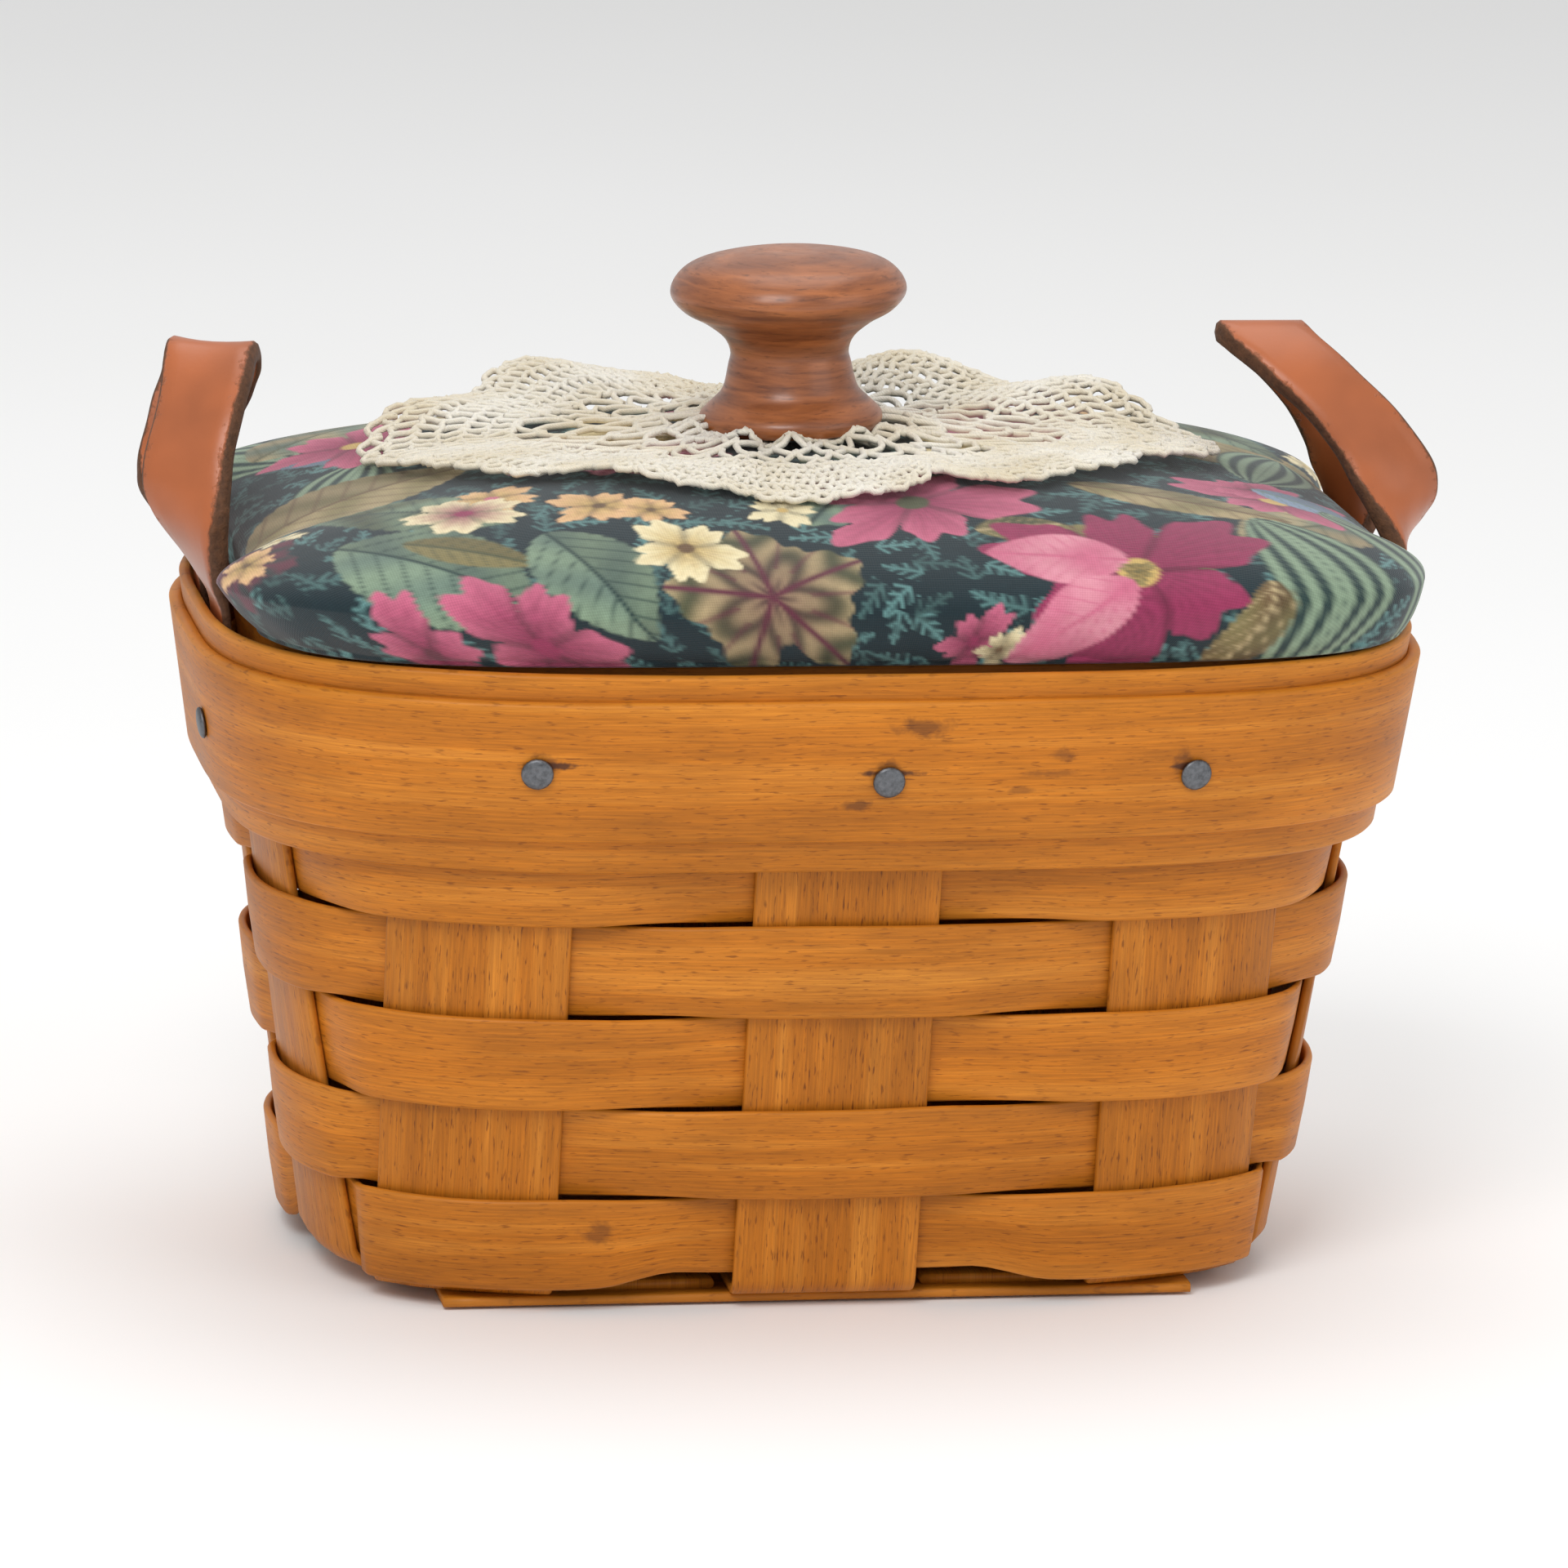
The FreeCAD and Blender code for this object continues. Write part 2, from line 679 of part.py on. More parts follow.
def make_lid():
    core = pad_form(0.0)
    skin = pad_form(cover_thickness)
    big = 4 * rim_width
    below = Part.makeBox(big, big, board_top + big, Vec(-big / 2, -big / 2, -big))
    board = core.common(below)
    foam = core.cut(below)
    hem_hole = slab(lid_half_x - board_edge_inset - hem_depth,
                    lid_half_y - board_edge_inset - hem_depth, liner_low, board_low)
    cover = skin.cut(core).cut(hem_hole)
    rim = Plan(rim_height)
    liner_x = rim.half_x + inner_band_inner - liner_clearance - abs(lid_shift)
    liner_y = rim.half_y + inner_band_inner - liner_clearance
    liner = slab(liner_x, liner_y, liner_low, liner_top)

    upward = Vec(-math.sin(math.radians(knob_lean)), 0, math.cos(math.radians(knob_lean)))
    seat = Vec(lid_shift + knob_shift, 0, knob_seat)
    depth = knob_seat - liner_low + hole_margin
    hole = cylinder(seat - upward * depth, upward, screw_hole_radius, depth + hole_margin)

    doily = doily_sheet(skin)
    bores = []
    for x, y in ((-1, -1), (1, -1), (1, 1), (-1, 1)):
        place = Vec(lid_shift + x * liner_screw_x, y * liner_screw_y, liner_low)
        shank = cylinder(place, Vec(0, 0, 1), liner_screw_diameter / 2, liner_screw_length)
        head = Part.makeCone(liner_screw_head_diameter / 2, liner_screw_diameter / 2,
                             liner_screw_head_height, place)
        bores.append(shank.fuse(head))
    screws = Part.makeCompound(bores)
    add("lid_board", board.cut(hole).cut(screws))
    add("foam_pad", foam.cut(hole))
    add("lid_cover", cover.cut(hole))
    add("lid_liner", liner.cut(hole).cut(screws))
    add("liner_screws", screws)
    add("crochet_doily", doily.cut(hole))
    make_knob(seat, upward)


def doily_sheet(skin):
    """The doily as a plain sheet that follows the pad's crown."""
    points = []
    for i in range(48):
        angle = 2 * math.pi * i / 48
        points.append(Vec(lid_shift + knob_shift + doily_width / 2 * math.cos(angle),
                          doily_shift_y + doily_depth / 2 * math.sin(angle), board_top))
    face = Part.Face(Part.Wire(spline(points, closed=True)))
    plug = skin.common(face.extrude(Vec(0, 0, crown_height + hole_margin)))
    low = plug.copy()
    low.translate(Vec(0, 0, doily_lift))
    plug.translate(Vec(0, 0, doily_lift + doily_thickness))
    return plug.cut(low)


def make_knob(seat, upward):
    """A turned knob, its wood screw from below and the screw's washer."""
    r = knob_diameter / 2
    neck = knob_neck_diameter / 2
    foot = knob_base_diameter / 2
    h = knob_height
    side_points = [
        (foot - 0.4, 0.0), (foot, 0.9), (foot - 0.2, 2.0), (foot - 1.6, 3.4),
        (foot - 3.2, 5.2), (neck + 0.3, 8.4), (neck, 10.2), (neck + 0.9, 12.2),
        (neck + 3.4, 14.2), (r - 1.6, 15.8), (r, h - 5.6), (r - 0.9, h - 3.2),
        (r - 3.6, h - 1.4), (r * 0.4, h - 0.2), (0.0, h),
    ]
    profile = spline([Vec(x, 0, z) for x, z in side_points])
    bottom = Part.makeLine(Vec(0, 0, 0), Vec(foot - 0.4, 0, 0))
    axis = Part.makeLine(Vec(0, 0, h), Vec(0, 0, 0))
    face = Part.Face(Part.Wire([bottom, profile, axis]))
    knob = face.revolve(Vec(0, 0, 0), Vec(0, 0, 1), 360)
    turn = FreeCAD.Rotation(Vec(0, 0, 1), upward)
    knob.Placement = FreeCAD.Placement(seat, turn)
    screw_hole = cylinder(seat - upward, upward, screw_diameter / 2, screw_depth_in_knob + 1)
    add("knob", knob.cut(screw_hole))

    under = (knob_seat - liner_low + knob_dip * washer_diameter / 2) / upward.z
    washer_base = seat - upward * (under + washer_thickness)
    reach = under + washer_thickness + screw_depth_in_knob
    shank = cylinder(washer_base, upward, screw_diameter / 2, reach)
    head = cylinder(washer_base - upward * screw_head_height, upward,
                    screw_head_diameter / 2, screw_head_height)
    add("knob_screw", head.fuse(shank))
    washer = cylinder(washer_base, upward, washer_diameter / 2, washer_thickness)
    add("screw_washer", washer.cut(cylinder(washer_base, upward, screw_hole_radius, washer_thickness)))


# ---- build --------------------------------------------------------------------------

def main():
    make_stakes()
    make_base_fillers()
    make_weavers()
    make_bands()
    make_ears()
    make_tacks()
    make_lid()
    os.makedirs("parts", exist_ok=True)
    for name, shape in PARTS.items():
        shape.exportStep(f"parts/{name}.step")
        print(name, shape.ShapeType, len(shape.Solids), shape.isValid(), round(shape.Volume, 1))


main()
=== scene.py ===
"""A woven splint sewing basket: the looks of its wood, padded lid, doily, knob and leather ears."""

import math

import bmesh
import bpy
import numpy as np
from mathutils import Matrix, Vector


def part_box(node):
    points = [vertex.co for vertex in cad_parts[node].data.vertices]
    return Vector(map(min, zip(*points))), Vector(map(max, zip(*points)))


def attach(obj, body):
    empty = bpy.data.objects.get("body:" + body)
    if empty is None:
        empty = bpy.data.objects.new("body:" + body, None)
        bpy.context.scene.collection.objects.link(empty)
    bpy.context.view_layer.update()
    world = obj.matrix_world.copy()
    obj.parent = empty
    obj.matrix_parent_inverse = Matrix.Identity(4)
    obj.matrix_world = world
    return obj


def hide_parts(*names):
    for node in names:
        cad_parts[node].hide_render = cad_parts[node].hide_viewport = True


bl_info = {
    "name": "Sewing Basket",
    "version": (1, 0, 0),
    "blender": (4, 5, 0),
    "location": "View3D > Sidebar > Basket",
    "description": "Weaves a splint sewing basket with a padded lid, crochet doily and leather ears",
    "category": "Add Mesh",
}

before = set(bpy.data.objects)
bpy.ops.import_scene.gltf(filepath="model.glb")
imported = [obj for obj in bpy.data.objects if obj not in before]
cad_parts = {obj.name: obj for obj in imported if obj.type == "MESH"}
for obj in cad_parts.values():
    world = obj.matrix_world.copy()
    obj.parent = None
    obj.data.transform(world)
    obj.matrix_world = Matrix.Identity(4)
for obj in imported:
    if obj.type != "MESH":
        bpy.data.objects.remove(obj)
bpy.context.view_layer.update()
MM = 0.001


# ---- sizes read from the frame, in millimetres --------------------------------------

def box_mm(node):
    """A node's box corners in millimetres."""
    low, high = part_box(node)
    return np.array(low) / MM, np.array(high) / MM


BAND_LOW, BAND_HIGH = box_mm("outer_band")
TRIM_LOW, TRIM_HIGH = box_mm("trim_strip")
INNER_LOW, INNER_HIGH = box_mm("inner_band")
COVER_LOW, COVER_HIGH = box_mm("lid_cover")
KNOB_LOW = box_mm("knob")[0]
STAKE_LOW, STAKE_HIGH = box_mm("front_back_stake_centre")
LEFT_LOW, LEFT_HIGH = box_mm("front_back_stake_left")
SIDE_LOW, SIDE_HIGH = box_mm("left_right_stake_front")
ROW_NAMES = ["hidden_top_row"] + [f"weaver_row_{i}" for i in range(1, 6)]
ROW_BOTTOMS = [box_mm(name)[0][2] for name in ROW_NAMES]

STAKE_THICK = 1.3
WEAVER_THICK = 1.1
BAND_THICK = 1.5
TRIM_THICK = 1.8
WEAVE_CLEARANCE = 0.12        # between a row and the upright that it crosses
SIDE_FLARE = 0.14             # how far a wall leans out for each millimetre up
FRONT_FLARE = 0.18
CORNER_POWER = 3.5            # of the superellipse that the basket follows
RIM = BAND_HIGH[2]
STAKE_TOP = STAKE_HIGH[2]
ROW_PITCH = ROW_BOTTOMS[1] - ROW_BOTTOMS[2]
ROW_GAP = 0.05
ROW_HEIGHT = ROW_PITCH - ROW_GAP
ROW_BOTTOMS[5] = ROW_BOTTOMS[4] - ROW_PITCH
WALL_X = SIDE_HIGH[0] + SIDE_FLARE * (RIM - STAKE_TOP) - STAKE_THICK / 2
WALL_Y = STAKE_HIGH[1] + FRONT_FLARE * (RIM - STAKE_TOP) - STAKE_THICK / 2
BAND_OFFSET = BAND_HIGH[0] - WALL_X - BAND_THICK / 2
TRIM_OFFSET = BAND_OFFSET + (BAND_THICK + TRIM_THICK) / 2
INNER_OFFSET = INNER_HIGH[0] - WALL_X - BAND_THICK / 2
WEAVE_OFFSET = (STAKE_THICK + WEAVER_THICK) / 2 + WEAVE_CLEARANCE
FRONT_PITCH = -(LEFT_LOW[0] + LEFT_HIGH[0]) / 2 + 0.2         # its box is 0.2 off the splint's middle
FRONT_HALF = (STAKE_HIGH[0] - STAKE_LOW[0]) / 2
SIDE_HALF = (SIDE_HIGH[1] - SIDE_LOW[1]) / 2
SIDE_Y = -(SIDE_HIGH[1] + SIDE_LOW[1]) / 2


# ---- colours and settings a user would change ---------------------------------------

def srgb(red, green, blue):
    """A screen colour from 0 to 255 as the linear colour that shaders use."""
    def linear(c):
        c /= 255
        return c / 12.92 if c <= 0.04045 else ((c + 0.055) / 1.055) ** 2.4
    return (linear(red), linear(green), linear(blue), 1.0)


def darker(colour, share):
    """A colour with its three channels scaled down."""
    return tuple(c * share for c in colour[:3]) + (1,)


def colour_prop(name, description, colour):
    return bpy.props.FloatVectorProperty(
        name=name, description=description, subtype="COLOR", size=4, min=0, max=1, default=colour)


class WoodSettings(bpy.types.PropertyGroup):
    """Colours of the splint and of the knob."""
    light: colour_prop("Light grain", "Palest tone of the maple splint", srgb(208, 132, 44))
    middle: colour_prop("Middle grain", "Main tone of the maple splint", srgb(184, 108, 22))
    dark: colour_prop("Dark grain", "Streaks and flecks of the maple splint", srgb(108, 54, 12))
    knob_light: colour_prop("Knob light", "Palest tone of the turned knob", srgb(178, 106, 58))
    knob_dark: colour_prop("Knob dark", "Darkest grain of the turned knob", srgb(104, 54, 28))
    edge_wander: bpy.props.FloatProperty(
        name="Edge wander", description="How far a hand-cut splint's edge wanders", default=0.22 * MM,
        min=0, max=MM, unit="LENGTH")


class LidSettings(bpy.types.PropertyGroup):
    """The padded lid, its print and the doily."""
    ground: colour_prop("Ground", "Dark ground of the printed cotton", srgb(20, 38, 44))
    sprig: colour_prop("Sprig", "Small fern sprigs on the ground", srgb(92, 132, 130))
    thread: colour_prop("Crochet thread", "Cotton of the doily", srgb(240, 234, 220))
    dent: bpy.props.FloatProperty(
        name="Unevenness", description="How far the padding rises and sinks by hand", default=0.35 * MM,
        min=0, max=2 * MM, unit="LENGTH")
    thread_radius: bpy.props.FloatProperty(
        name="Thread radius", description="Half the thickness of a crocheted thread", default=0.48 * MM,
        min=0.1 * MM, max=MM, unit="LENGTH")


class EarSettings(bpy.types.PropertyGroup):
    """The leather ears."""
    face: colour_prop("Leather face", "Smooth outer side of the strap", srgb(176, 96, 52))
    edge: colour_prop("Leather edge", "Cut edges and flesh side", srgb(104, 66, 40))


# ---- meshes -------------------------------------------------------------------------

def new_object(name, mesh):
    obj = bpy.data.objects.new(name, mesh)
    bpy.context.scene.collection.objects.link(obj)
    return obj


def mesh_object(name, vertices, faces, smooth=True):
    """An object at the origin from vertices in millimetres."""
    mesh = bpy.data.meshes.new(name)
    mesh.from_pydata((np.asarray(vertices, float) * MM).tolist(), [], faces)
    mesh.polygons.foreach_set("use_smooth", [smooth] * len(mesh.polygons))
    mesh.update()
    return new_object(name, mesh)


def recalculate_normals(obj):
    bm = bmesh.new()
    bm.from_mesh(obj.data)
    bmesh.ops.recalc_face_normals(bm, faces=bm.faces)
    bm.to_mesh(obj.data)
    bm.free()


def finish_piece(obj, body, slot, material, *nodes):
    """Gives a finished piece its material and its body, and hides the nodes that it stands for. Its slot is
    not used.
    """
    obj.data.materials.clear()
    obj.data.materials.append(material)
    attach(obj, body)
    if nodes:
        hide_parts(*nodes)
    return obj


def wander(along, seed, size):
    """A slow, hand-cut wander: a sum of three sines that depends on the seed."""
    rng = np.random.default_rng(seed)
    total = np.zeros_like(along)
    for period in (61.0, 27.0, 13.0):
        total += np.sin(along * 2 * math.pi / period + rng.uniform(0, 2 * math.pi)) * period ** 0.5
    return total / (61.0 ** 0.5 * 1.6) * size


def slab(name, grid, normals, thickness, closed=False, round_edge=0.45, face_points=5):
    """A splint or strap: a grid of middle points (along, across), given a thickness and soft edges.

    Its UV map holds millimetre distances along and across the strip, in metres.
    """
    grid, normals = np.asarray(grid, float), np.asarray(normals, float)
    count, across = grid.shape[:2]
    thickness = np.broadcast_to(np.asarray(thickness, float), (count,))
    width = np.linalg.norm(np.diff(grid, axis=1), axis=2).sum(axis=1)
    edge = round_edge / max(1e-6, float(width.mean())) * 2
    inner = np.linspace(-1 + edge, 1 - edge, face_points)
    loop = [(w, 1.0) for w in inner]
    loop += [(1 - 0.3 * edge, 0.72), (1.0, 0.0), (1 - 0.3 * edge, -0.72)]
    loop += [(w, -1.0) for w in inner[::-1]]
    loop += [(-1 + 0.3 * edge, -0.72), (-1.0, 0.0), (-1 + 0.3 * edge, 0.72)]
    rings = []
    for w, h in loop:
        place = (w + 1) / 2 * (across - 1)
        k = min(int(place), across - 2)
        t = place - k
        point = grid[:, k] * (1 - t) + grid[:, k + 1] * t
        normal = normals[:, k] * (1 - t) + normals[:, k + 1] * t
        normal /= np.linalg.norm(normal, axis=1)[:, None]
        rings.append(point + normal * (h * thickness / 2)[:, None])
    ring_count = len(loop)
    vertices = np.stack(rings, axis=1).reshape(-1, 3)
    middle = grid.mean(axis=1)
    steps = np.linalg.norm(np.diff(middle, axis=0), axis=1)
    along = np.concatenate([[0], np.cumsum(steps)])
    if closed:
        along = np.append(along, along[-1] + np.linalg.norm(middle[0] - middle[-1]))
    half = float(width.mean()) / 2
    across_at = [w * half for w, h in loop]
    faces, uvs = [], []
    for j in range(count if closed else count - 1):
        j2 = (j + 1) % count
        for i in range(ring_count):
            i2 = (i + 1) % ring_count
            faces.append((j * ring_count + i, j2 * ring_count + i, j2 * ring_count + i2, j * ring_count + i2))
            uvs += [(along[j], across_at[i]), (along[j + 1], across_at[i]),
                    (along[j + 1], across_at[i2]), (along[j], across_at[i2])]
    if not closed:
        for j, order in ((0, 1), (count - 1, -1)):
            ring = [j * ring_count + i for i in range(ring_count)][::order]
            faces.append(tuple(ring))
            uvs += [(along[j], across_at[i]) for i in range(ring_count)][::order]
    obj = mesh_object(name, vertices, faces)
    layer = obj.data.uv_layers.new(name="grain")
    layer.data.foreach_set("uv", (np.array(uvs) * MM).ravel())
    # Edge weight per point: 1 on the sides, 0.35 at the outer points of each face. The splints use it for a
    # painted edge highlight, and the leather for its darker cut edges.
    edge_share = [1.0 if abs(h) < 1 else 0.35 * (abs(w) > 1 - edge * 1.01) for w, h in loop]
    marks = obj.data.attributes.new("edge", "FLOAT", "POINT")
    marks.data.foreach_set("value", np.tile(edge_share, count))
    recalculate_normals(obj)
    return obj


# ---- the wall's plan ----------------------------------------------------------------

class Plan:
    """The middle surface of the uprights at one height: a superellipse and its arc length."""

    def __init__(self, z):
        self.z = z
        self.half = np.array([WALL_X - SIDE_FLARE * (RIM - z), WALL_Y - FRONT_FLARE * (RIM - z)])
        self.angles = np.linspace(0, 2 * math.pi, 2161)
        points = self.at_angle(self.angles)
        steps = np.linalg.norm(np.diff(points, axis=0), axis=1)
        self.arcs = np.concatenate([[0], np.cumsum(steps)])
        self.length = self.arcs[-1]

    def at_angle(self, angle):
        c, s = np.cos(angle), np.sin(angle)
        reach = (np.abs(c / self.half[0]) ** CORNER_POWER + np.abs(s / self.half[1]) ** CORNER_POWER)
        reach = reach ** (-1 / CORNER_POWER)
        return np.stack([reach * c, reach * s], axis=-1)

    def place(self, arc, offset=0.0):
        """Points and outward plan normals at arc lengths, each moved out by an offset."""
        angle = np.interp(np.mod(arc, self.length), self.arcs, self.angles)
        xy = self.at_angle(angle)
        gradient = np.sign(xy) * np.abs(xy / self.half) ** (CORNER_POWER - 1) / self.half
        gradient /= np.linalg.norm(gradient, axis=-1)[..., None]
        xy = xy + gradient * np.asarray(offset)[..., None]
        points = np.concatenate([xy, np.full(xy.shape[:-1] + (1,), self.z)], axis=-1)
        normals = np.concatenate([gradient, np.zeros(xy.shape[:-1] + (1,))], axis=-1)
        return points, normals

    def arc_of(self, x, y):
        return float(np.interp(math.atan2(y, x) % (2 * math.pi), self.angles, self.arcs))

    def stake_arcs(self):
        """Arc lengths of the ten uprights, counter-clockwise from the right side's back one."""
        arcs = []
        for kind, sign, shift in STAKES:
            if kind == "side":
                y = shift
                x = sign * self.half[0] * (1 - abs(y / self.half[1]) ** CORNER_POWER) ** (1 / CORNER_POWER)
            else:
                x = shift
                y = sign * self.half[1] * (1 - abs(x / self.half[0]) ** CORNER_POWER) ** (1 / CORNER_POWER)
            arcs.append(self.arc_of(x, y))
        return arcs


# wall, its sign and the distance from its middle of every upright, counter-clockwise
STAKES = [("side", 1, SIDE_Y)]
STAKES += [("front", 1, x) for x in (FRONT_PITCH, 0.0, -FRONT_PITCH)]
STAKES += [("side", -1, SIDE_Y), ("side", -1, -SIDE_Y)]
STAKES += [("front", -1, x) for x in (-FRONT_PITCH, 0.0, FRONT_PITCH)]
STAKES += [("side", 1, -SIDE_Y)]
STAKE_HALVES = [SIDE_HALF if s[0] == "side" else FRONT_HALF for s in STAKES]
STAKE_BULGES = [0.6 if s[0] == "side" else 0.45 for s in STAKES]        # how far a row bows over each


def row_signs(number):
    """+1 where a row passes outside an upright and -1 where it passes behind."""
    signs = []
    for i, stake in enumerate(STAKES):
        over = (i % 2 == 0) == (number % 2 == 1)
        if number == 0:
            over = stake[0] != "side" and i % 2 == 0
        signs.append(1 if over else -1)
    return signs


ARCS_PER_SPAN = 24
OVERHANG = 0.3                # a row stays level this far past an upright's edges


def weave_path(plan, signs, start):
    """(arc, offset, over share) all round, from the middle of one upright back to it."""
    centres = plan.stake_arcs()
    count = len(centres)
    arcs, offsets, overs = [], [], []
    base = centres[start]
    for k in range(count):
        i, j = (start + k) % count, (start + k + 1) % count
        span = (centres[j] - centres[i]) % plan.length
        half_i, half_j = STAKE_HALVES[i] + OVERHANG, STAKE_HALVES[j] + OVERHANG
        gap = span - half_i - half_j
        for n in range(ARCS_PER_SPAN):
            s = span * n / ARCS_PER_SPAN
            if s < half_i:
                over = signs[i]
                offset = signs[i] * (WEAVE_OFFSET + STAKE_BULGES[i] * (1 - (s / half_i) ** 2))
            elif s > span - half_j:
                over = signs[j]
                back = (span - s) / half_j
                offset = signs[j] * (WEAVE_OFFSET + STAKE_BULGES[j] * (1 - back ** 2))
            else:
                t = (s - half_i) / gap
                h01 = 3 * t ** 2 - 2 * t ** 3
                over = signs[i] * (1 - h01) + signs[j] * h01
                offset = over * WEAVE_OFFSET
                offset -= (t ** 3 - 2 * t ** 2 + t) * 2 * STAKE_BULGES[i] / half_i * signs[i] * gap
                offset += (t ** 3 - t ** 2) * 2 * STAKE_BULGES[j] / half_j * signs[j] * gap
            arcs.append(base + s)
            offsets.append(offset)
            overs.append(over)
        base += span
    return np.array(arcs), np.array(offsets), np.array(overs)


def wall_frame(low, high, outward):
    """Unit normals of the wall between two rails, square to the rise and the run."""
    rise = high - low
    run = np.roll(low, -1, axis=0) - np.roll(low, 1, axis=0)
    normal = np.cross(run, rise)
    normal /= np.linalg.norm(normal, axis=1)[:, None]
    flip = np.sign((normal * outward).sum(axis=1))
    return normal * flip[:, None]


# ---- nodes and materials ------------------------------------------------------------

def tree_node(tree, kind, inputs=None, **properties):
    """A new node whose inputs are linked to sockets or set to values."""
    made = tree.nodes.new(kind)
    for key, value in properties.items():
        setattr(made, key, value)
    for key, value in (inputs or {}).items():
        if isinstance(value, bpy.types.NodeSocket):
            tree.links.new(value, made.inputs[key])
        else:
            made.inputs[key].default_value = value
    return made


class Finish:
    """A material being built, with short calls for the nodes that the finishes share."""

    def __init__(self, name, **settings):
        self.material = bpy.data.materials.new(name)
        self.material.use_nodes = True
        self.tree = self.material.node_tree
        self.shader = self.tree.nodes["Principled BSDF"]
        for socket, value in settings.items():
            self.shader.inputs[SOCKETS[socket]].default_value = value

    def node(self, kind, inputs=None, **properties):
        return tree_node(self.tree, kind, inputs, **properties)

    def coordinates(self, scale, uv=None, turn=(0, 0, 0), move=(0, 0, 0)):
        """Object coordinates, or a UV map's, multiplied by a scale per axis."""
        if uv:
            source = self.node("ShaderNodeUVMap", uv_map=uv).outputs["UV"]
        else:
            source = self.node("ShaderNodeTexCoord").outputs["Object"]
        mapping = self.node("ShaderNodeMapping", {"Vector": source, "Scale": scale, "Rotation": turn,
                                                  "Location": move})
        return mapping.outputs["Vector"]

    def noise(self, vector, scale=1.0, detail=4.0, roughness=0.55, distortion=0.0):
        made = self.node("ShaderNodeTexNoise", {"Vector": vector, "Scale": scale, "Detail": detail,
                                                "Roughness": roughness, "Distortion": distortion})
        return made.outputs["Fac"]

    def ramp(self, factor, *stops):
        made = self.node("ShaderNodeValToRGB", {"Fac": factor})
        ramp = made.color_ramp
        while len(ramp.elements) < len(stops):
            ramp.elements.new(0.5)
        for element, (place, colour) in zip(ramp.elements, stops):
            element.position = place
            element.color = colour if not isinstance(colour, (int, float)) else (colour,) * 3 + (1,)
        return made.outputs["Color"]

    def mix(self, factor, first, second, blend="MIX"):
        made = self.node("ShaderNodeMix", {0: factor, 6: first, 7: second}, data_type="RGBA",
                         blend_type=blend)
        return made.outputs[2]

    def maths(self, operation, first, second=0.0):
        return self.node("ShaderNodeMath", {0: first, 1: second}, operation=operation).outputs[0]

    def attribute(self, name, output="Color"):
        return self.node("ShaderNodeAttribute", attribute_name=name).outputs[output]

    def colour(self, socket):
        self.tree.links.new(socket, self.shader.inputs["Base Color"])

    def roughness(self, socket):
        self.tree.links.new(socket, self.shader.inputs["Roughness"])

    def bump(self, height, strength, distance_mm):
        """Adds a layer of bump on top of the ones before it."""
        made = self.node("ShaderNodeBump", {"Height": height, "Strength": strength,
                                            "Distance": distance_mm * MM})
        before = self.shader.inputs["Normal"].links
        if before:
            self.tree.links.new(before[0].from_socket, made.inputs["Normal"])
        self.tree.links.new(made.outputs["Normal"], self.shader.inputs["Normal"])


SOCKETS = {"coat": "Coat Weight", "coat_roughness": "Coat Roughness", "sheen": "Sheen Weight",
           "sheen_roughness": "Sheen Roughness", "rough": "Roughness", "metallic": "Metallic",
           "specular": "Specular IOR Level", "subsurface": "Subsurface Weight"}


def settings():
    scene = bpy.context.scene
    return scene.basket_wood, scene.basket_lid, scene.basket_ears


def front_stain(made, number, x, z, wide, high, depth):
    """A ragged spot on the front wall, as a grey that is its depth in the middle. Sizes in millimetres."""
    spot = made.coordinates((1000 / wide, 0.0, 1000 / high), move=(-x / wide, 0, -z / high))
    edge = made.noise(made.coordinates((420, 420, 420), move=(number, 0, 0)), 1.0, 3.0)
    reach = made.node("ShaderNodeVectorMath", {0: spot}, operation="LENGTH").outputs["Value"]
    reach = made.maths("ADD", reach, made.maths("MULTIPLY", edge, 1.1))
    across = made.node("ShaderNodeSeparateXYZ", {0: made.coordinates((1000, 1000, 1000))}).outputs["Y"]
    front = made.maths("LESS_THAN", across, 0.0)
    mask = made.node("ShaderNodeCombineColor", {0: front, 1: front, 2: front}).outputs[0]
    return made.mix(1.0, made.ramp(reach, (0.75, depth), (1.35, 0.0)), mask, "MULTIPLY")


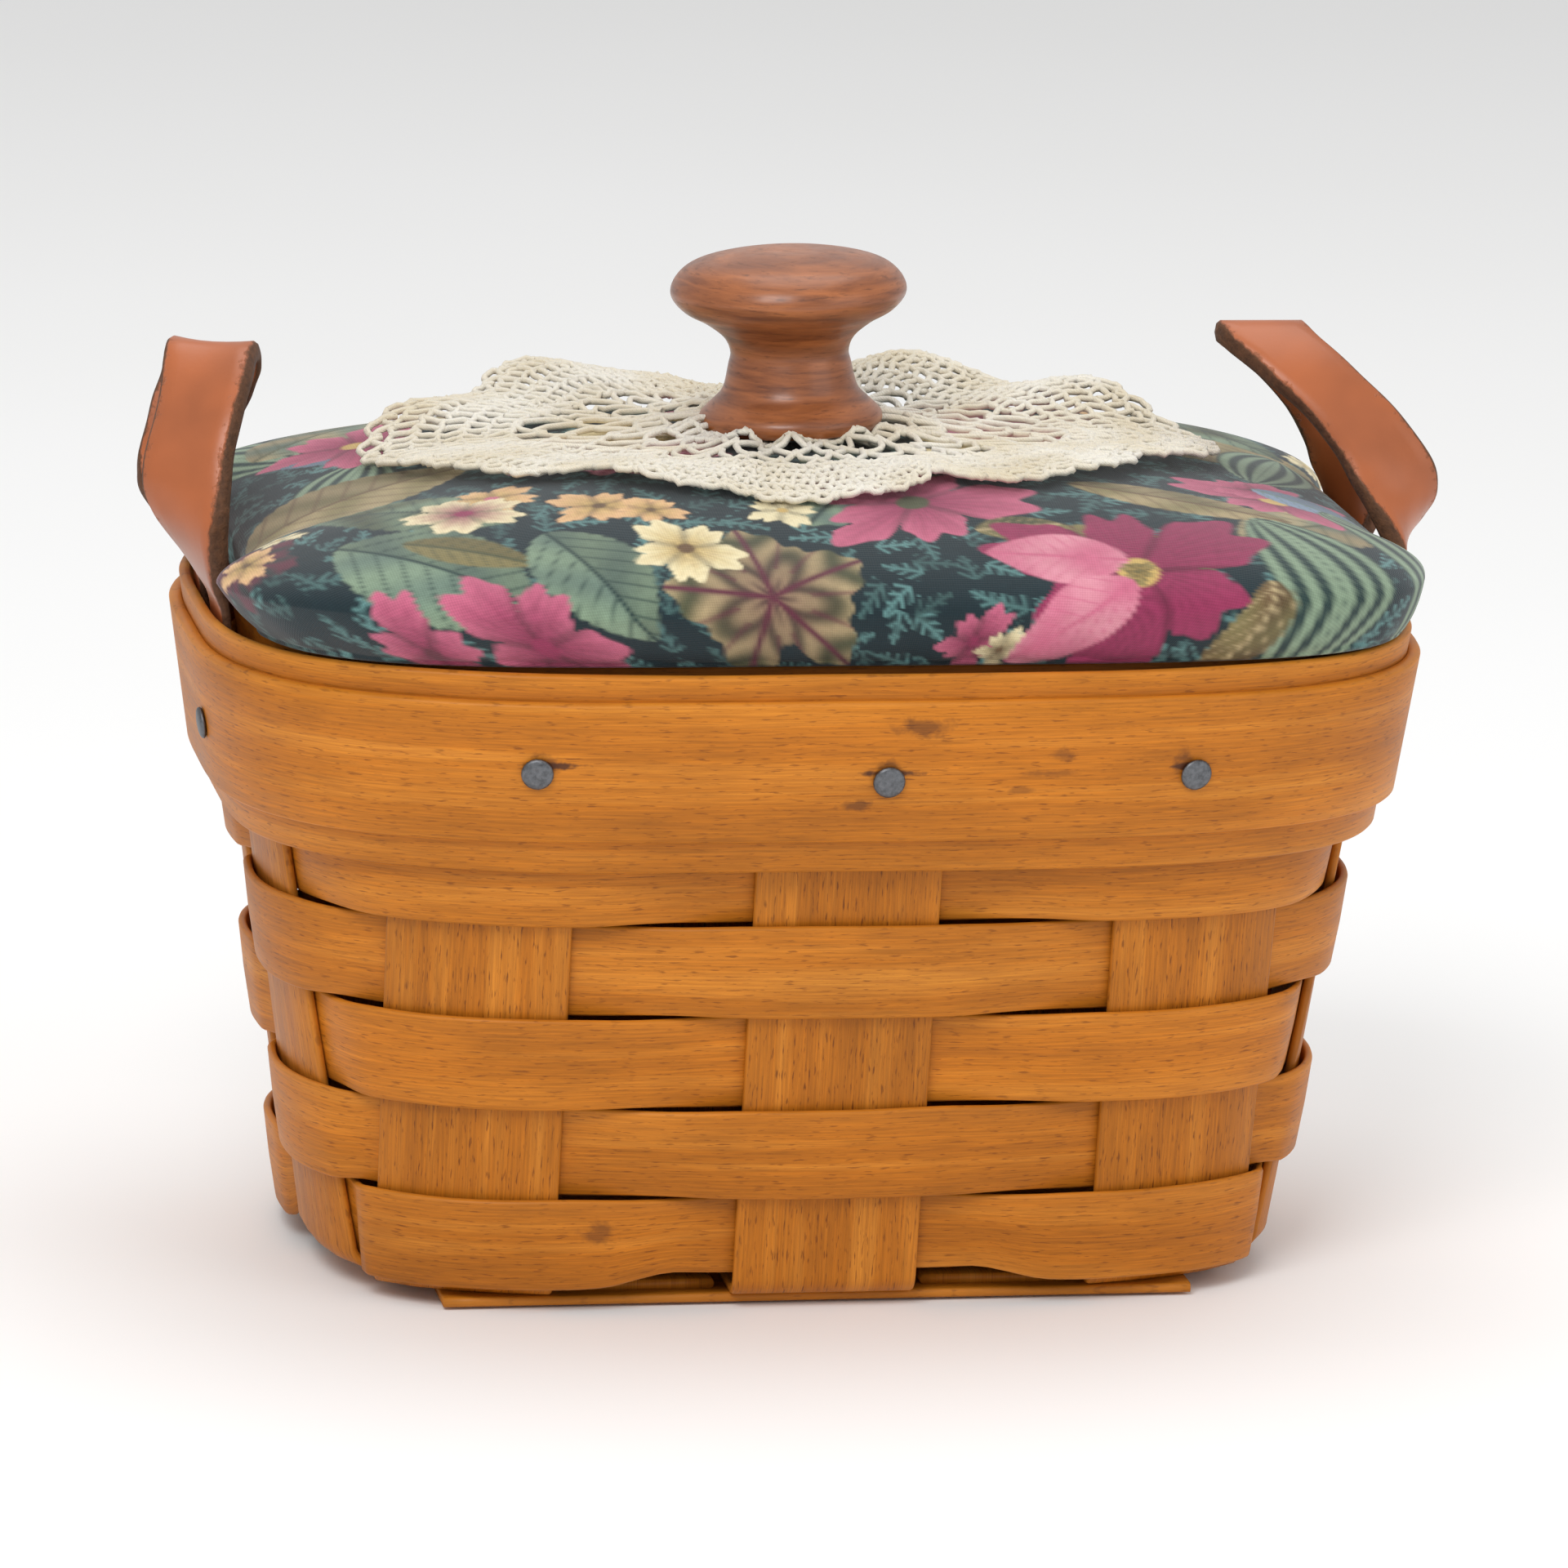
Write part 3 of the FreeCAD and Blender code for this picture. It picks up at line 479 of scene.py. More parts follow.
def splint_finish(name, seed, tone=1.0, flecks=0.62, stains=()):
    """Lacquered maple splint: long fibres, short dark flecks, slow bands of tone and a painted highlight
    along its edges.

    Each stain is its x and z on the front wall, its width and height in millimetres, and its depth
    from 0 to 1.
    """
    wood = settings()[0]
    made = Finish(name, rough=0.5, coat=0.08, coat_roughness=0.35, specular=0.22)

    def fibres(run, cross):
        move = (seed * 7.3, seed * 3.1, seed)
        return made.coordinates((run * 1000, cross * 1000, 1), uv="grain", move=move)

    bands = made.noise(fibres(0.010, 0.22), 1.0, 3.0, 0.6, 0.3)
    fibre = made.noise(fibres(0.10, 3.4), 1.0, 5.0, 0.65, 0.2)
    fleck = made.noise(fibres(0.42, 3.2), 1.0, 2.0, 0.5)
    cloud = made.noise(fibres(0.035, 0.07), 1.0, 4.0, 0.55)
    light, middle, dark = (darker(colour, tone) for colour in (wood.light, wood.middle, wood.dark))
    shaded = [0.75 * m + 0.25 * d for m, d in zip(middle, dark)]
    base = made.ramp(bands, (0.28, shaded), (0.5, middle), (0.74, light))
    tint = made.mix(0.30, base, made.ramp(fibre, (0.32, 0.10), (0.66, 0.9)), "OVERLAY")
    tint = made.mix(1.0, tint, made.ramp(cloud, (0.30, 0.84), (0.62, 1.05)), "MULTIPLY")
    tint = made.mix(made.ramp(fleck, (0.595, 0.0), (0.69, flecks)), tint, dark)
    edge_mask = made.attribute("edge", "Fac")
    # Painted highlight: the edges are mixed toward the light tone, as if their rounding caught the light,
    # made patchy by the cloud noise.
    painted_edge_highlight = made.maths("MULTIPLY", edge_mask, made.ramp(cloud, (0.35, 0.15), (0.6, 0.5)))
    tint = made.mix(painted_edge_highlight, tint, light)
    for number, stain in enumerate(stains):
        tint = made.mix(front_stain(made, number, *stain), tint, srgb(70, 38, 24))
    made.colour(tint)
    made.roughness(made.ramp(fibre, (0.2, 0.42), (0.8, 0.58)))
    made.bump(fibre, 0.22, 0.12)
    made.bump(fleck, 0.12, 0.08)
    return made.material


def leather_finish(name):
    """Smooth russet strap leather with rough, dark cut edges and a paler flesh side."""
    ears = settings()[2]
    made = Finish(name, rough=0.38, specular=0.45, coat=0.12, coat_roughness=0.3)
    grain = made.noise(made.coordinates((900, 900, 900)), 1.0, 4.0, 0.6)
    cloud = made.noise(made.coordinates((60, 60, 60)), 1.0, 3.0, 0.5)
    edge_mask = made.attribute("edge", "Fac")
    pores = made.node("ShaderNodeTexVoronoi", {"Vector": made.coordinates((1500, 1500, 1500)), "Scale": 1.0})
    tint = made.ramp(cloud, (0.3, darker(ears.face, 0.72)), (0.62, ears.face[:]))
    frayed = made.maths("ADD", edge_mask, made.maths("MULTIPLY", made.maths("SUBTRACT", grain, 0.5), 1.1))
    edge = made.ramp(frayed, (0.35, 0.0), (0.75, 1.0))
    raw = made.ramp(grain, (0.3, darker(ears.edge, 0.45)), (0.7, ears.edge[:]))
    made.colour(made.mix(edge, tint, raw))
    made.roughness(made.ramp(edge, (0.0, 0.36), (1.0, 0.85)))
    made.bump(pores.outputs["Distance"], 0.10, 0.08)
    made.bump(made.maths("MULTIPLY", grain, edge), 0.8, 0.5)
    return made.material


def knob_finish(name, lean):
    """Reddish turned beech: grain at a slant through the knob, with fine flecks."""
    wood = settings()[0]
    made = Finish(name, rough=0.34, coat=0.3, coat_roughness=0.22, specular=0.45)
    slant = (math.radians(8), math.radians(-33 + lean), 0)
    rings = made.coordinates((90, 90, 900), turn=slant)
    grain = made.noise(rings, 1.0, 5.0, 0.62, 0.4)
    flecks = made.noise(made.coordinates((420, 420, 2600), turn=slant), 1.0, 3.0, 0.6)
    between = [0.5 * (a + b) for a, b in zip(wood.knob_dark, wood.knob_light)]
    tint = made.ramp(grain, (0.28, wood.knob_dark[:]), (0.52, between), (0.75, wood.knob_light[:]))
    dashes = made.ramp(flecks, (0.58, 0.0), (0.72, 0.55))
    tint = made.mix(dashes, tint, darker(wood.knob_dark, 0.55))
    made.colour(tint)
    made.roughness(made.ramp(flecks, (0.2, 0.30), (0.8, 0.46)))
    made.bump(grain, 0.12, 0.1)
    made.bump(flecks, 0.12, 0.06)
    return made.material


def steel_finish(name, tone):
    """Dull hammered steel."""
    made = Finish(name, rough=0.42, metallic=1.0)
    marks = made.noise(made.coordinates((1600, 1600, 1600)), 1.0, 4.0, 0.6)
    made.colour(made.ramp(marks, (0.3, darker(tone, 0.5)), (0.65, tone)))
    made.roughness(made.ramp(marks, (0.2, 0.36), (0.8, 0.6)))
    made.bump(marks, 0.3, 0.1)
    return made.material


def plywood_finish(name):
    """Raw pale plywood: long grain on the faces, thin plies on the edges."""
    made = Finish(name, rough=0.62)
    grain = made.noise(made.coordinates((40, 900, 900)), 1.0, 5.0, 0.6, 0.3)
    plies = made.node("ShaderNodeTexWave", {"Vector": made.coordinates((1, 1, 520)), "Scale": 1.0,
                                            "Distortion": 0.4}, bands_direction="Z")
    tint = made.ramp(grain, (0.3, srgb(178, 140, 96)), (0.7, srgb(214, 182, 134)))
    made.colour(made.mix(0.25, tint, plies.outputs["Color"], "MULTIPLY"))
    made.bump(grain, 0.2, 0.15)
    return made.material


def cotton_finish(name):
    """Printed cotton: the print is painted on the mesh, the weave and fading are here."""
    made = Finish(name, rough=0.82, sheen=0.25, sheen_roughness=0.5, specular=0.25)
    cloth = made.coordinates((2900, 2900, 1), uv="cloth")
    warp, weft = (made.node("ShaderNodeTexWave", {"Vector": cloth, "Scale": 0.32, "Distortion": 0.5,
                                                  "Detail Scale": 1.0}, bands_direction=way).outputs["Fac"]
                  for way in "XY")
    weave = made.maths("ADD", made.maths("MULTIPLY", warp, 0.5), made.maths("MULTIPLY", weft, 0.5))
    fade = made.noise(made.coordinates((45, 45, 1), uv="cloth"), 1.0, 4.0, 0.6)
    mottle = made.noise(made.coordinates((700, 700, 1), uv="cloth"), 1.0, 3.0, 0.6)
    tint = made.mix(0.22, made.attribute("print"), made.ramp(weave, (0.2, 0.35), (0.8, 0.75)), "OVERLAY")
    tint = made.mix(1.0, tint, made.ramp(fade, (0.3, 0.88), (0.7, 1.08)), "MULTIPLY")
    tint = made.mix(0.16, tint, made.ramp(mottle, (0.3, 0.25), (0.7, 0.8)), "OVERLAY")
    made.colour(tint)
    made.bump(weave, 0.35, 0.12)
    made.bump(mottle, 0.15, 0.15)
    return made.material


def crochet_finish(name):
    """Cream cotton thread, twisted and a little fuzzy."""
    lid = settings()[1]
    made = Finish(name, rough=0.86, sheen=0.35, sheen_roughness=0.55, specular=0.2, subsurface=0.06)
    made.shader.inputs["Subsurface Radius"].default_value = (1.6 * MM, 1.2 * MM, 0.8 * MM)
    made.shader.inputs["Subsurface Scale"].default_value = 0.6
    fuzz = made.noise(made.coordinates((2600, 2600, 2600)), 1.0, 4.0, 0.65)
    age = made.noise(made.coordinates((70, 70, 70)), 1.0, 3.0, 0.5)
    twist = made.coordinates((1400, 1400, 1400), turn=(0.4, 0.7, 0.6))
    ply = made.node("ShaderNodeTexWave", {"Vector": twist, "Scale": 1.0, "Distortion": 2.0})
    warm = tuple(a * b for a, b in zip(lid.thread[:3], (0.86, 0.80, 0.68))) + (1,)
    tint = made.ramp(age, (0.32, warm), (0.62, lid.thread[:]))
    tint = made.mix(0.35, tint, made.ramp(fuzz, (0.25, 0.55), (0.7, 1.0)), "MULTIPLY")
    made.colour(tint)
    made.bump(ply.outputs["Fac"], 0.3, 0.15)
    made.bump(fuzz, 0.6, 0.25)
    return made.material


# ---- basket -------------------------------------------------------------------------

BAND_STATIONS = 420
BEND_RADIUS = 2.6             # of an upright's bend into the base
BASE_LIFT = 1.72              # how far the lowest row's edge rises where it passes behind
ROW_CROWN = 0.12              # how far the middle of a row's face stands out
ROW_PINCH = 0.28              # how far a row narrows between two uprights


def edge_wander(share, edge_number, size):
    """The hand-cut line of one edge, the same each time round."""
    rng = np.random.default_rng(100 + edge_number)
    line = np.zeros_like(share)
    for waves in (2, 5, 9, 17):
        line += np.sin(share * 2 * math.pi * waves + rng.uniform(0, 2 * math.pi)) / waves ** 0.5
    return line * size / 1.6


def band(name, offset, thickness, low_z, high_z, number):
    wood = settings()[0]
    share = np.arange(BAND_STATIONS) / BAND_STATIONS
    rails = []
    for level, z in enumerate((low_z, high_z)):
        plan = Plan(z)
        points, outward = plan.place(share * plan.length, np.full(BAND_STATIONS, offset))
        points[:, 2] += edge_wander(share, 10 * number + level, wood.edge_wander / MM * 0.6)
        rails.append(points)
    normal = wall_frame(rails[0], rails[1], outward)
    grid = np.stack(rails, axis=1)
    return slab(name, grid, np.repeat(normal[:, None], 2, axis=1), thickness, closed=True)


def weaver(name, number):
    """One woven row. Rows that touch share the wander of the edge between them."""
    wood = settings()[0]
    signs = row_signs(number)
    start = 2 if signs[2] < 0 else 3
    lowest = number == len(ROW_NAMES) - 1
    rails = []
    for level, rise in enumerate((0.0, ROW_HEIGHT)):
        plan = Plan(ROW_BOTTOMS[number] + rise)
        arcs, offsets, overs = weave_path(plan, signs, start)
        points, outward = plan.place(arcs, offsets)
        points[:, 2] += edge_wander((arcs / plan.length) % 1.0, number - level, wood.edge_wander / MM)
        points[:, 2] += (ROW_PINCH if level == 0 else -ROW_PINCH) * (1 - overs ** 2)
        if lowest and level == 0:
            points[:, 2] += BASE_LIFT * np.clip(0.6 - overs, 0, 1)
        rails.append(points)
    normal = wall_frame(rails[0], rails[1], outward)
    grid = np.stack([rails[0], 0.5 * (rails[0] + rails[1]), rails[1]], axis=1)
    grid[:, 1] += normal * ROW_CROWN
    return slab(name, grid, np.repeat(normal[:, None], 3, axis=1), WEAVER_THICK, closed=True)


def stake(name, front, back, low_z):
    """An upright: up one wall, round the bend, across the base and up the other wall."""
    across = np.linspace(-1, 1, 5)
    half = STAKE_HALVES[front]
    bend_z = low_z + STAKE_THICK / 2 + BEND_RADIUS
    inward = np.array([1.0, 0, 0] if STAKES[front][0] == "side" else [0, 1.0, 0])
    upward = np.array([0, 0, 1])

    def wall(index, order, inward):
        points_down, normals_down = [], []
        for z in np.linspace(STAKE_TOP, bend_z, 16):
            plan = Plan(z)
            arcs = plan.stake_arcs()[index] + order * half
            points, normals = plan.place(arcs, np.zeros(5))
            points_down.append(points)
            normals_down.append(normals)
        for turn in np.linspace(0, math.pi / 2, 9)[1:]:
            shift = inward * BEND_RADIUS * (1 - math.cos(turn)) - upward * BEND_RADIUS * math.sin(turn)
            points_down.append(points + shift)
            normals_down.append(normals * math.cos(turn) - upward * math.sin(turn))
        return points_down, normals_down

    first_points, first_normals = wall(front, across, inward)
    second_points, second_normals = wall(back, across[::-1], -inward)
    grid = np.array(first_points + second_points[::-1])
    normals = np.array(first_normals + second_normals[::-1])
    return slab(name, grid, normals, STAKE_THICK)


def base_splint(node):
    """A flat splint that fills its node's box."""
    low, high = box_mm(node)
    size = high - low
    long_axis, wide_axis = (0, 1) if size[0] > size[1] else (1, 0)
    grid = np.zeros((24, 2, 3))
    grid[:, :, 2] = (low[2] + high[2]) / 2
    grid[:, :, long_axis] = np.linspace(low[long_axis], high[long_axis], len(grid))[:, None]
    grid[:, :, wide_axis] = [low[wide_axis], high[wide_axis]]
    normals = np.zeros_like(grid)
    normals[:, :, 2] = 1
    return slab(node + "_splint", grid, normals, size[2])


EAR_WIDTH = 12.7
EAR_BULGE = 3.2               # how far a leg bows out
EAR_FOOT_Y = 12.0
EAR_FOOT_THICK = 1.3
EAR_THICK = 3.2
EAR_FOOT_GAP = 0.25           # between a foot and the upright's face
EAR_FOOT_DROPS = (21.5, 10.75, 4.0)
FOOT_TWIST = 12               # degrees of twist where a leg starts to turn with the loop
LEG_SPREAD = 0.05             # millimetres that the legs part for each degree of turn
# share of the height, share of the feet's spread, twist and slope in degrees, share of the full thickness
EAR_LEG = [
    (0.03, 1.00, 2, 0, 0.0), (0.12, 1.01, 4, 0, 0.4), (0.22, 1.03, 12, 0, 0.8), (0.32, 1.05, 32, 2, 1.0),
    (0.43, 1.05, 62, 5, 1.0), (0.56, 0.98, 86, 14, 1.0), (0.72, 0.82, 90, 26, 1.0), (0.86, 0.56, 90, 40, 1.0),
    (0.96, 0.26, 90, 62, 1.0), (1.00, 0.00, 90, 90, 1.0),
]


def ear_stations(side, rise, lean, turned):
    """Middle, width and through vectors of an ear along its length, front foot to back foot."""
    foot_mid = STAKE_THICK / 2 + EAR_FOOT_GAP + EAR_FOOT_THICK / 2

    def wall_x(z):
        half = Plan(z).half
        return half[0] * (1 - (EAR_FOOT_Y / half[1]) ** CORNER_POWER) ** (1 / CORNER_POWER) + foot_mid

    rows = [(wall_x(RIM - drop), EAR_FOOT_Y, RIM - drop, 2, 0, EAR_FOOT_THICK) for drop in EAR_FOOT_DROPS]
    for up, out, twist, slope, full in EAR_LEG:
        swell = min(1.0, max(0.0, up - 0.03) / 0.9)
        x = wall_x(RIM) + EAR_BULGE * math.sin(math.pi * swell) - lean * up ** 2.6
        thick = EAR_FOOT_THICK + (EAR_THICK - EAR_FOOT_THICK) * full
        rows.append((x, EAR_FOOT_Y * out, RIM + rise * up, twist, slope, thick))

    middles, widths, throughs, thicknesses = [], [], [], []
    for facing, order in ((-1, rows), (1, rows[-2::-1])):
        for x, y, z, twist, travel, thick in order:
            share = max(0.0, twist - FOOT_TWIST) / (90 - FOOT_TWIST)
            twist += facing * turned * share
            x -= facing * turned * share * (1 - travel / 90) * LEG_SPREAD
            turn, go = math.radians(twist), math.radians(travel)
            path = np.array([0, -facing * math.sin(go), math.cos(go)])
            width = np.array([math.sin(turn) * side, -facing * math.cos(turn), 0.0])
            width -= path * width.dot(path)
            width /= np.linalg.norm(width)
            middles.append((side * x, facing * y, z))
            widths.append(width)
            throughs.append(np.cross(path, width) * -facing)
            thicknesses.append(thick)
    return map(np.array, (middles, widths, throughs, thicknesses))


def smooth_rows(rows, pieces):
    """Catmull-Rom through rows of numbers, each span cut into pieces."""
    rows = np.asarray(rows, float)
    padded = np.concatenate([[2 * rows[0] - rows[1]], rows, [2 * rows[-1] - rows[-2]]])
    out = []
    for i in range(len(rows) - 1):
        a, b, c, d = padded[i:i + 4]
        for t in np.arange(pieces) / pieces:
            out.append(0.5 * (2 * b + (c - a) * t + (2 * a - 5 * b + 4 * c - d) * t ** 2
                              + (3 * b - a - 3 * c + d) * t ** 3))
    out.append(rows[-1])
    return np.array(out)


def ear(name, side, rise, lean, turned):
    """A strap from foot to foot, its loop turned by so many degrees from facing the front."""
    middles, widths, throughs, thicknesses = ear_stations(side, rise, lean, turned)
    stations = np.concatenate([middles, widths, throughs, thicknesses[:, None]], axis=1)
    stations = smooth_rows(stations, 8)
    middles, widths, throughs = stations[:, :3], stations[:, 3:6], stations[:, 6:9]
    widths /= np.linalg.norm(widths, axis=1)[:, None]
    throughs -= widths * (throughs * widths).sum(axis=1)[:, None]
    throughs /= np.linalg.norm(throughs, axis=1)[:, None]
    along = np.arange(len(middles)) * 1.3
    near, far = (EAR_WIDTH / 2 + wander(along, side + seed, 0.15)[:, None] for seed in (5, 9))
    grid = np.stack([middles - widths * near, middles, middles + widths * far], axis=1)
    normals = np.repeat(throughs[:, None], 3, axis=1)
    return slab(name, grid, normals, stations[:, 9], round_edge=0.75, face_points=7)


# ---- lid ----------------------------------------------------------------------------

LID_SHIFT = 0.8               # how far the lid sits to the right
LID_INSET = 4.6               # from the trim's face to the board's end
COVER_THICK = 0.7
LID_HALF = np.array([WALL_X + TRIM_OFFSET + TRIM_THICK / 2 - LID_INSET, COVER_HIGH[1] - COVER_THICK])
LID_POWER = 4.6               # of the lid's superellipse
EAR_DENT = 2.7                # how far the pad gives way beside an ear
DENT_HALF = 19.15
DENT_FADE = 13.0
BOARD_LOW = COVER_LOW[2] + COVER_THICK
BOARD_TOP = BOARD_LOW + 4.0
PAD_TOP = COVER_HIGH[2] - COVER_THICK
BULGE_Z = BOARD_LOW + 6.6     # height of the pad's widest line
EDGE_INSET = 1.4              # of the board's edge from the widest line
HEM = 17.0
CLOTH_GAP = 0.04              # between the cloth and the board
CROWN_HALF = 13.2             # of the flat crown under the knob
PAD_COLUMNS = 760
SWELL = 2.6                   # how far the padding stands out past its board at the widest line


def crown_halves(turn):
    """Half lengths and height of the pad's outline, from 90 degrees at the crown to 0 at the bulge."""
    draw = np.maximum(0.0, np.cos(turn)) ** 1.15
    half_x = CROWN_HALF + (LID_HALF[0] - CROWN_HALF) * draw + COVER_THICK
    half_y = CROWN_HALF + (LID_HALF[1] - CROWN_HALF) * draw + COVER_THICK
    return half_x, half_y, BULGE_Z + (PAD_TOP + COVER_THICK - BULGE_Z) * np.sin(turn)


def crown_height(x, y):
    """Height of the cover's top at places (x, y)."""
    x, y = np.abs(np.asarray(x, float) - LID_SHIFT), np.abs(np.asarray(y, float))
    low, high = np.zeros_like(x), np.full_like(x, math.pi / 2)
    for _ in range(30):
        middle = (low + high) / 2
        half_x, half_y, _ = crown_halves(middle)
        inside = (x / half_x) ** LID_POWER + (y / half_y) ** LID_POWER < 1
        low, high = np.where(inside, middle, low), np.where(inside, high, middle)
    return crown_halves((low + high) / 2)[2]


def smooth_step(low, high, value):
    """0 below the first edge, 1 above the second and a smooth rise between."""
    t = np.clip((value - low) / (high - low), 0, 1)
    return t * t * (3 - 2 * t)


def pad_rings():
    """(half x, half y, height, bulge share) of every ring, from the crown to the board's top inside."""
    rings = []
    for s in np.linspace(0.02, 1, 34)[:-1]:
        rings.append(((CROWN_HALF + COVER_THICK) * s, (CROWN_HALF + COVER_THICK) * s,
                      PAD_TOP + COVER_THICK, 0.0))
    for turn in np.linspace(math.pi / 2, 0, 190):
        half_x, half_y, z = crown_halves(turn)
        rings.append((float(half_x), float(half_y), float(z), math.cos(turn) ** 3))
    for share in np.linspace(1, 0, 26)[1:]:
        inset = EDGE_INSET * (1 - share) ** 2 - COVER_THICK
        z = BOARD_LOW + (BULGE_Z - BOARD_LOW) * share
        rings.append((LID_HALF[0] - inset, LID_HALF[1] - inset, z, share ** 0.8))
    for turn in np.linspace(0, math.pi / 2, 5)[1:]:
        inset = EDGE_INSET - COVER_THICK * math.cos(turn)
        z = BOARD_LOW - COVER_THICK * math.sin(turn)
        rings.append((LID_HALF[0] - inset, LID_HALF[1] - inset, z, 0.0))
    for share in (0.15, 0.35, 0.6, 0.85, 1.0):
        inset = EDGE_INSET + HEM * share
        rings.append((LID_HALF[0] - inset, LID_HALF[1] - inset, BOARD_LOW - COVER_THICK, 0.0))
    low, high = BOARD_LOW - CLOTH_GAP, BOARD_TOP + CLOTH_GAP
    for inset, z in ((EDGE_INSET + HEM, low), (EDGE_INSET - 0.02, low), (-CLOTH_GAP, high), (20.0, high)):
        rings.append((LID_HALF[0] - inset, LID_HALF[1] - inset, z, 0.0))
    return rings


def pad_surface():
    """Points (ring, column, xyz) of the pad and their places on the flat cloth, in millimetres."""
    lid = settings()[1]
    angles = 2 * math.pi * np.arange(PAD_COLUMNS) / PAD_COLUMNS
    c, s = np.cos(angles), np.sin(angles)
    points = []
    for half_x, half_y, z, bulge in pad_rings():
        reach = (np.abs(c / half_x) ** LID_POWER + np.abs(s / half_y) ** LID_POWER) ** (-1 / LID_POWER)
        x, y = reach * c, reach * s
        beside_ear = 1 - smooth_step(DENT_HALF, DENT_HALF + DENT_FADE, np.abs(y))
        beside_ear *= (x / half_x) ** 2
        draw = max(0.0, (half_x - CROWN_HALF) / (LID_HALF[0] - CROWN_HALF)) if z > BOARD_LOW else 1.0
        x = x * (1 - EAR_DENT * min(draw, 1.0) * beside_ear / half_x)
        grown = SWELL * bulge * (1 - 0.9 * beside_ear) * (0.6 + 0.4 * np.abs(c)) * (1 - 0.7 * c)
        gradient = np.stack([np.sign(x) * np.abs(x / half_x) ** (LID_POWER - 1) / half_x,
                             np.sign(y) * np.abs(y / half_y) ** (LID_POWER - 1) / half_y])
        gradient /= np.linalg.norm(gradient, axis=0)
        ripple = 0.22 * np.sin(angles * 31 + 1.3 * np.sin(angles * 4)) + 0.16 * np.sin(angles * 53 + 0.7)
        lower = smooth_step(BULGE_Z + 1, BOARD_LOW + 0.6, np.full_like(x, z)) if z < BULGE_Z else 0.0
        grown = grown + ripple * lower * (bulge > 0)
        points.append(np.stack([x + gradient[0] * grown + LID_SHIFT, y + gradient[1] * grown,
                                np.full_like(x, z)], axis=1))
    points = np.array(points)
    outside = points[:, :, 2] > BULGE_Z - 3
    dents = np.zeros(points.shape[:2])
    rng = np.random.default_rng(7)
    for _ in range(14):
        run, cross, phase = rng.normal(0, 0.05), rng.normal(0, 0.07), rng.uniform(0, 6.28)
        dents += np.sin(points[:, :, 0] * run + points[:, :, 1] * cross + phase)
    fade = smooth_step(BULGE_Z - 3, BULGE_Z + 4, points[:, :, 2])
    radius = np.hypot(points[:, :, 0] - LID_SHIFT, points[:, :, 1])
    fade *= smooth_step(12, 26, radius)
    points[:, :, 2] += np.where(outside, dents * lid.dent / MM / 2.6 * fade, 0)
    steps = np.linalg.norm(np.diff(points, axis=0), axis=2)
    first_step = np.linalg.norm(points[:1] - [[[LID_SHIFT, 0, PAD_TOP]]], axis=2)
    arc = np.concatenate([first_step, steps]).cumsum(axis=0)
    heading = np.arctan2(points[0, :, 1], points[0, :, 0] - LID_SHIFT)
    cloth = np.stack([arc * np.cos(heading), arc * np.sin(heading)], axis=2)
    return points, cloth


def pad_mesh(name):
    points, cloth = pad_surface()
    rings, columns = points.shape[:2]
    top = np.array([[LID_SHIFT, 0, PAD_TOP + COVER_THICK]])
    inside = np.array([[LID_SHIFT, 0, BOARD_TOP + CLOTH_GAP]])
    vertices = np.concatenate([points.reshape(-1, 3), top, inside])
    places = np.concatenate([cloth.reshape(-1, 2), [[0, 0], [0, 0]]])
    ring, column = np.meshgrid(np.arange(rings - 1), np.arange(columns), indexing="ij")
    after = (column + 1) % columns
    quads = np.stack([ring * columns + column, (ring + 1) * columns + column,
                      (ring + 1) * columns + after, ring * columns + after], axis=2).reshape(-1, 4)
    faces = quads.tolist()
    crown, well = rings * columns, rings * columns + 1
    last = (rings - 1) * columns
    for k in range(columns):
        k2 = (k + 1) % columns
        faces.append([crown, k, k2])
        faces.append([well, last + k2, last + k])
    obj = mesh_object(name, vertices, faces)
    mesh = obj.data
    loops = np.zeros(len(mesh.loops), int)
    mesh.loops.foreach_get("vertex_index", loops)
    mesh.uv_layers.new(name="cloth").data.foreach_set("uv", (places[loops] * MM).ravel())
    colours = np.ones((len(vertices), 4))
    colours[:, :3] = floral_print(places)
    mesh.color_attributes.new("print", "FLOAT_COLOR", "POINT").data.foreach_set("color", colours.ravel())
    recalculate_normals(obj)
    return obj


# ---- the print ----------------------------------------------------------------------

def blend(first, second, share):
    """The first value at a share of 0, the second at 1."""
    return np.asarray(first) * (1 - share) + np.asarray(second) * share


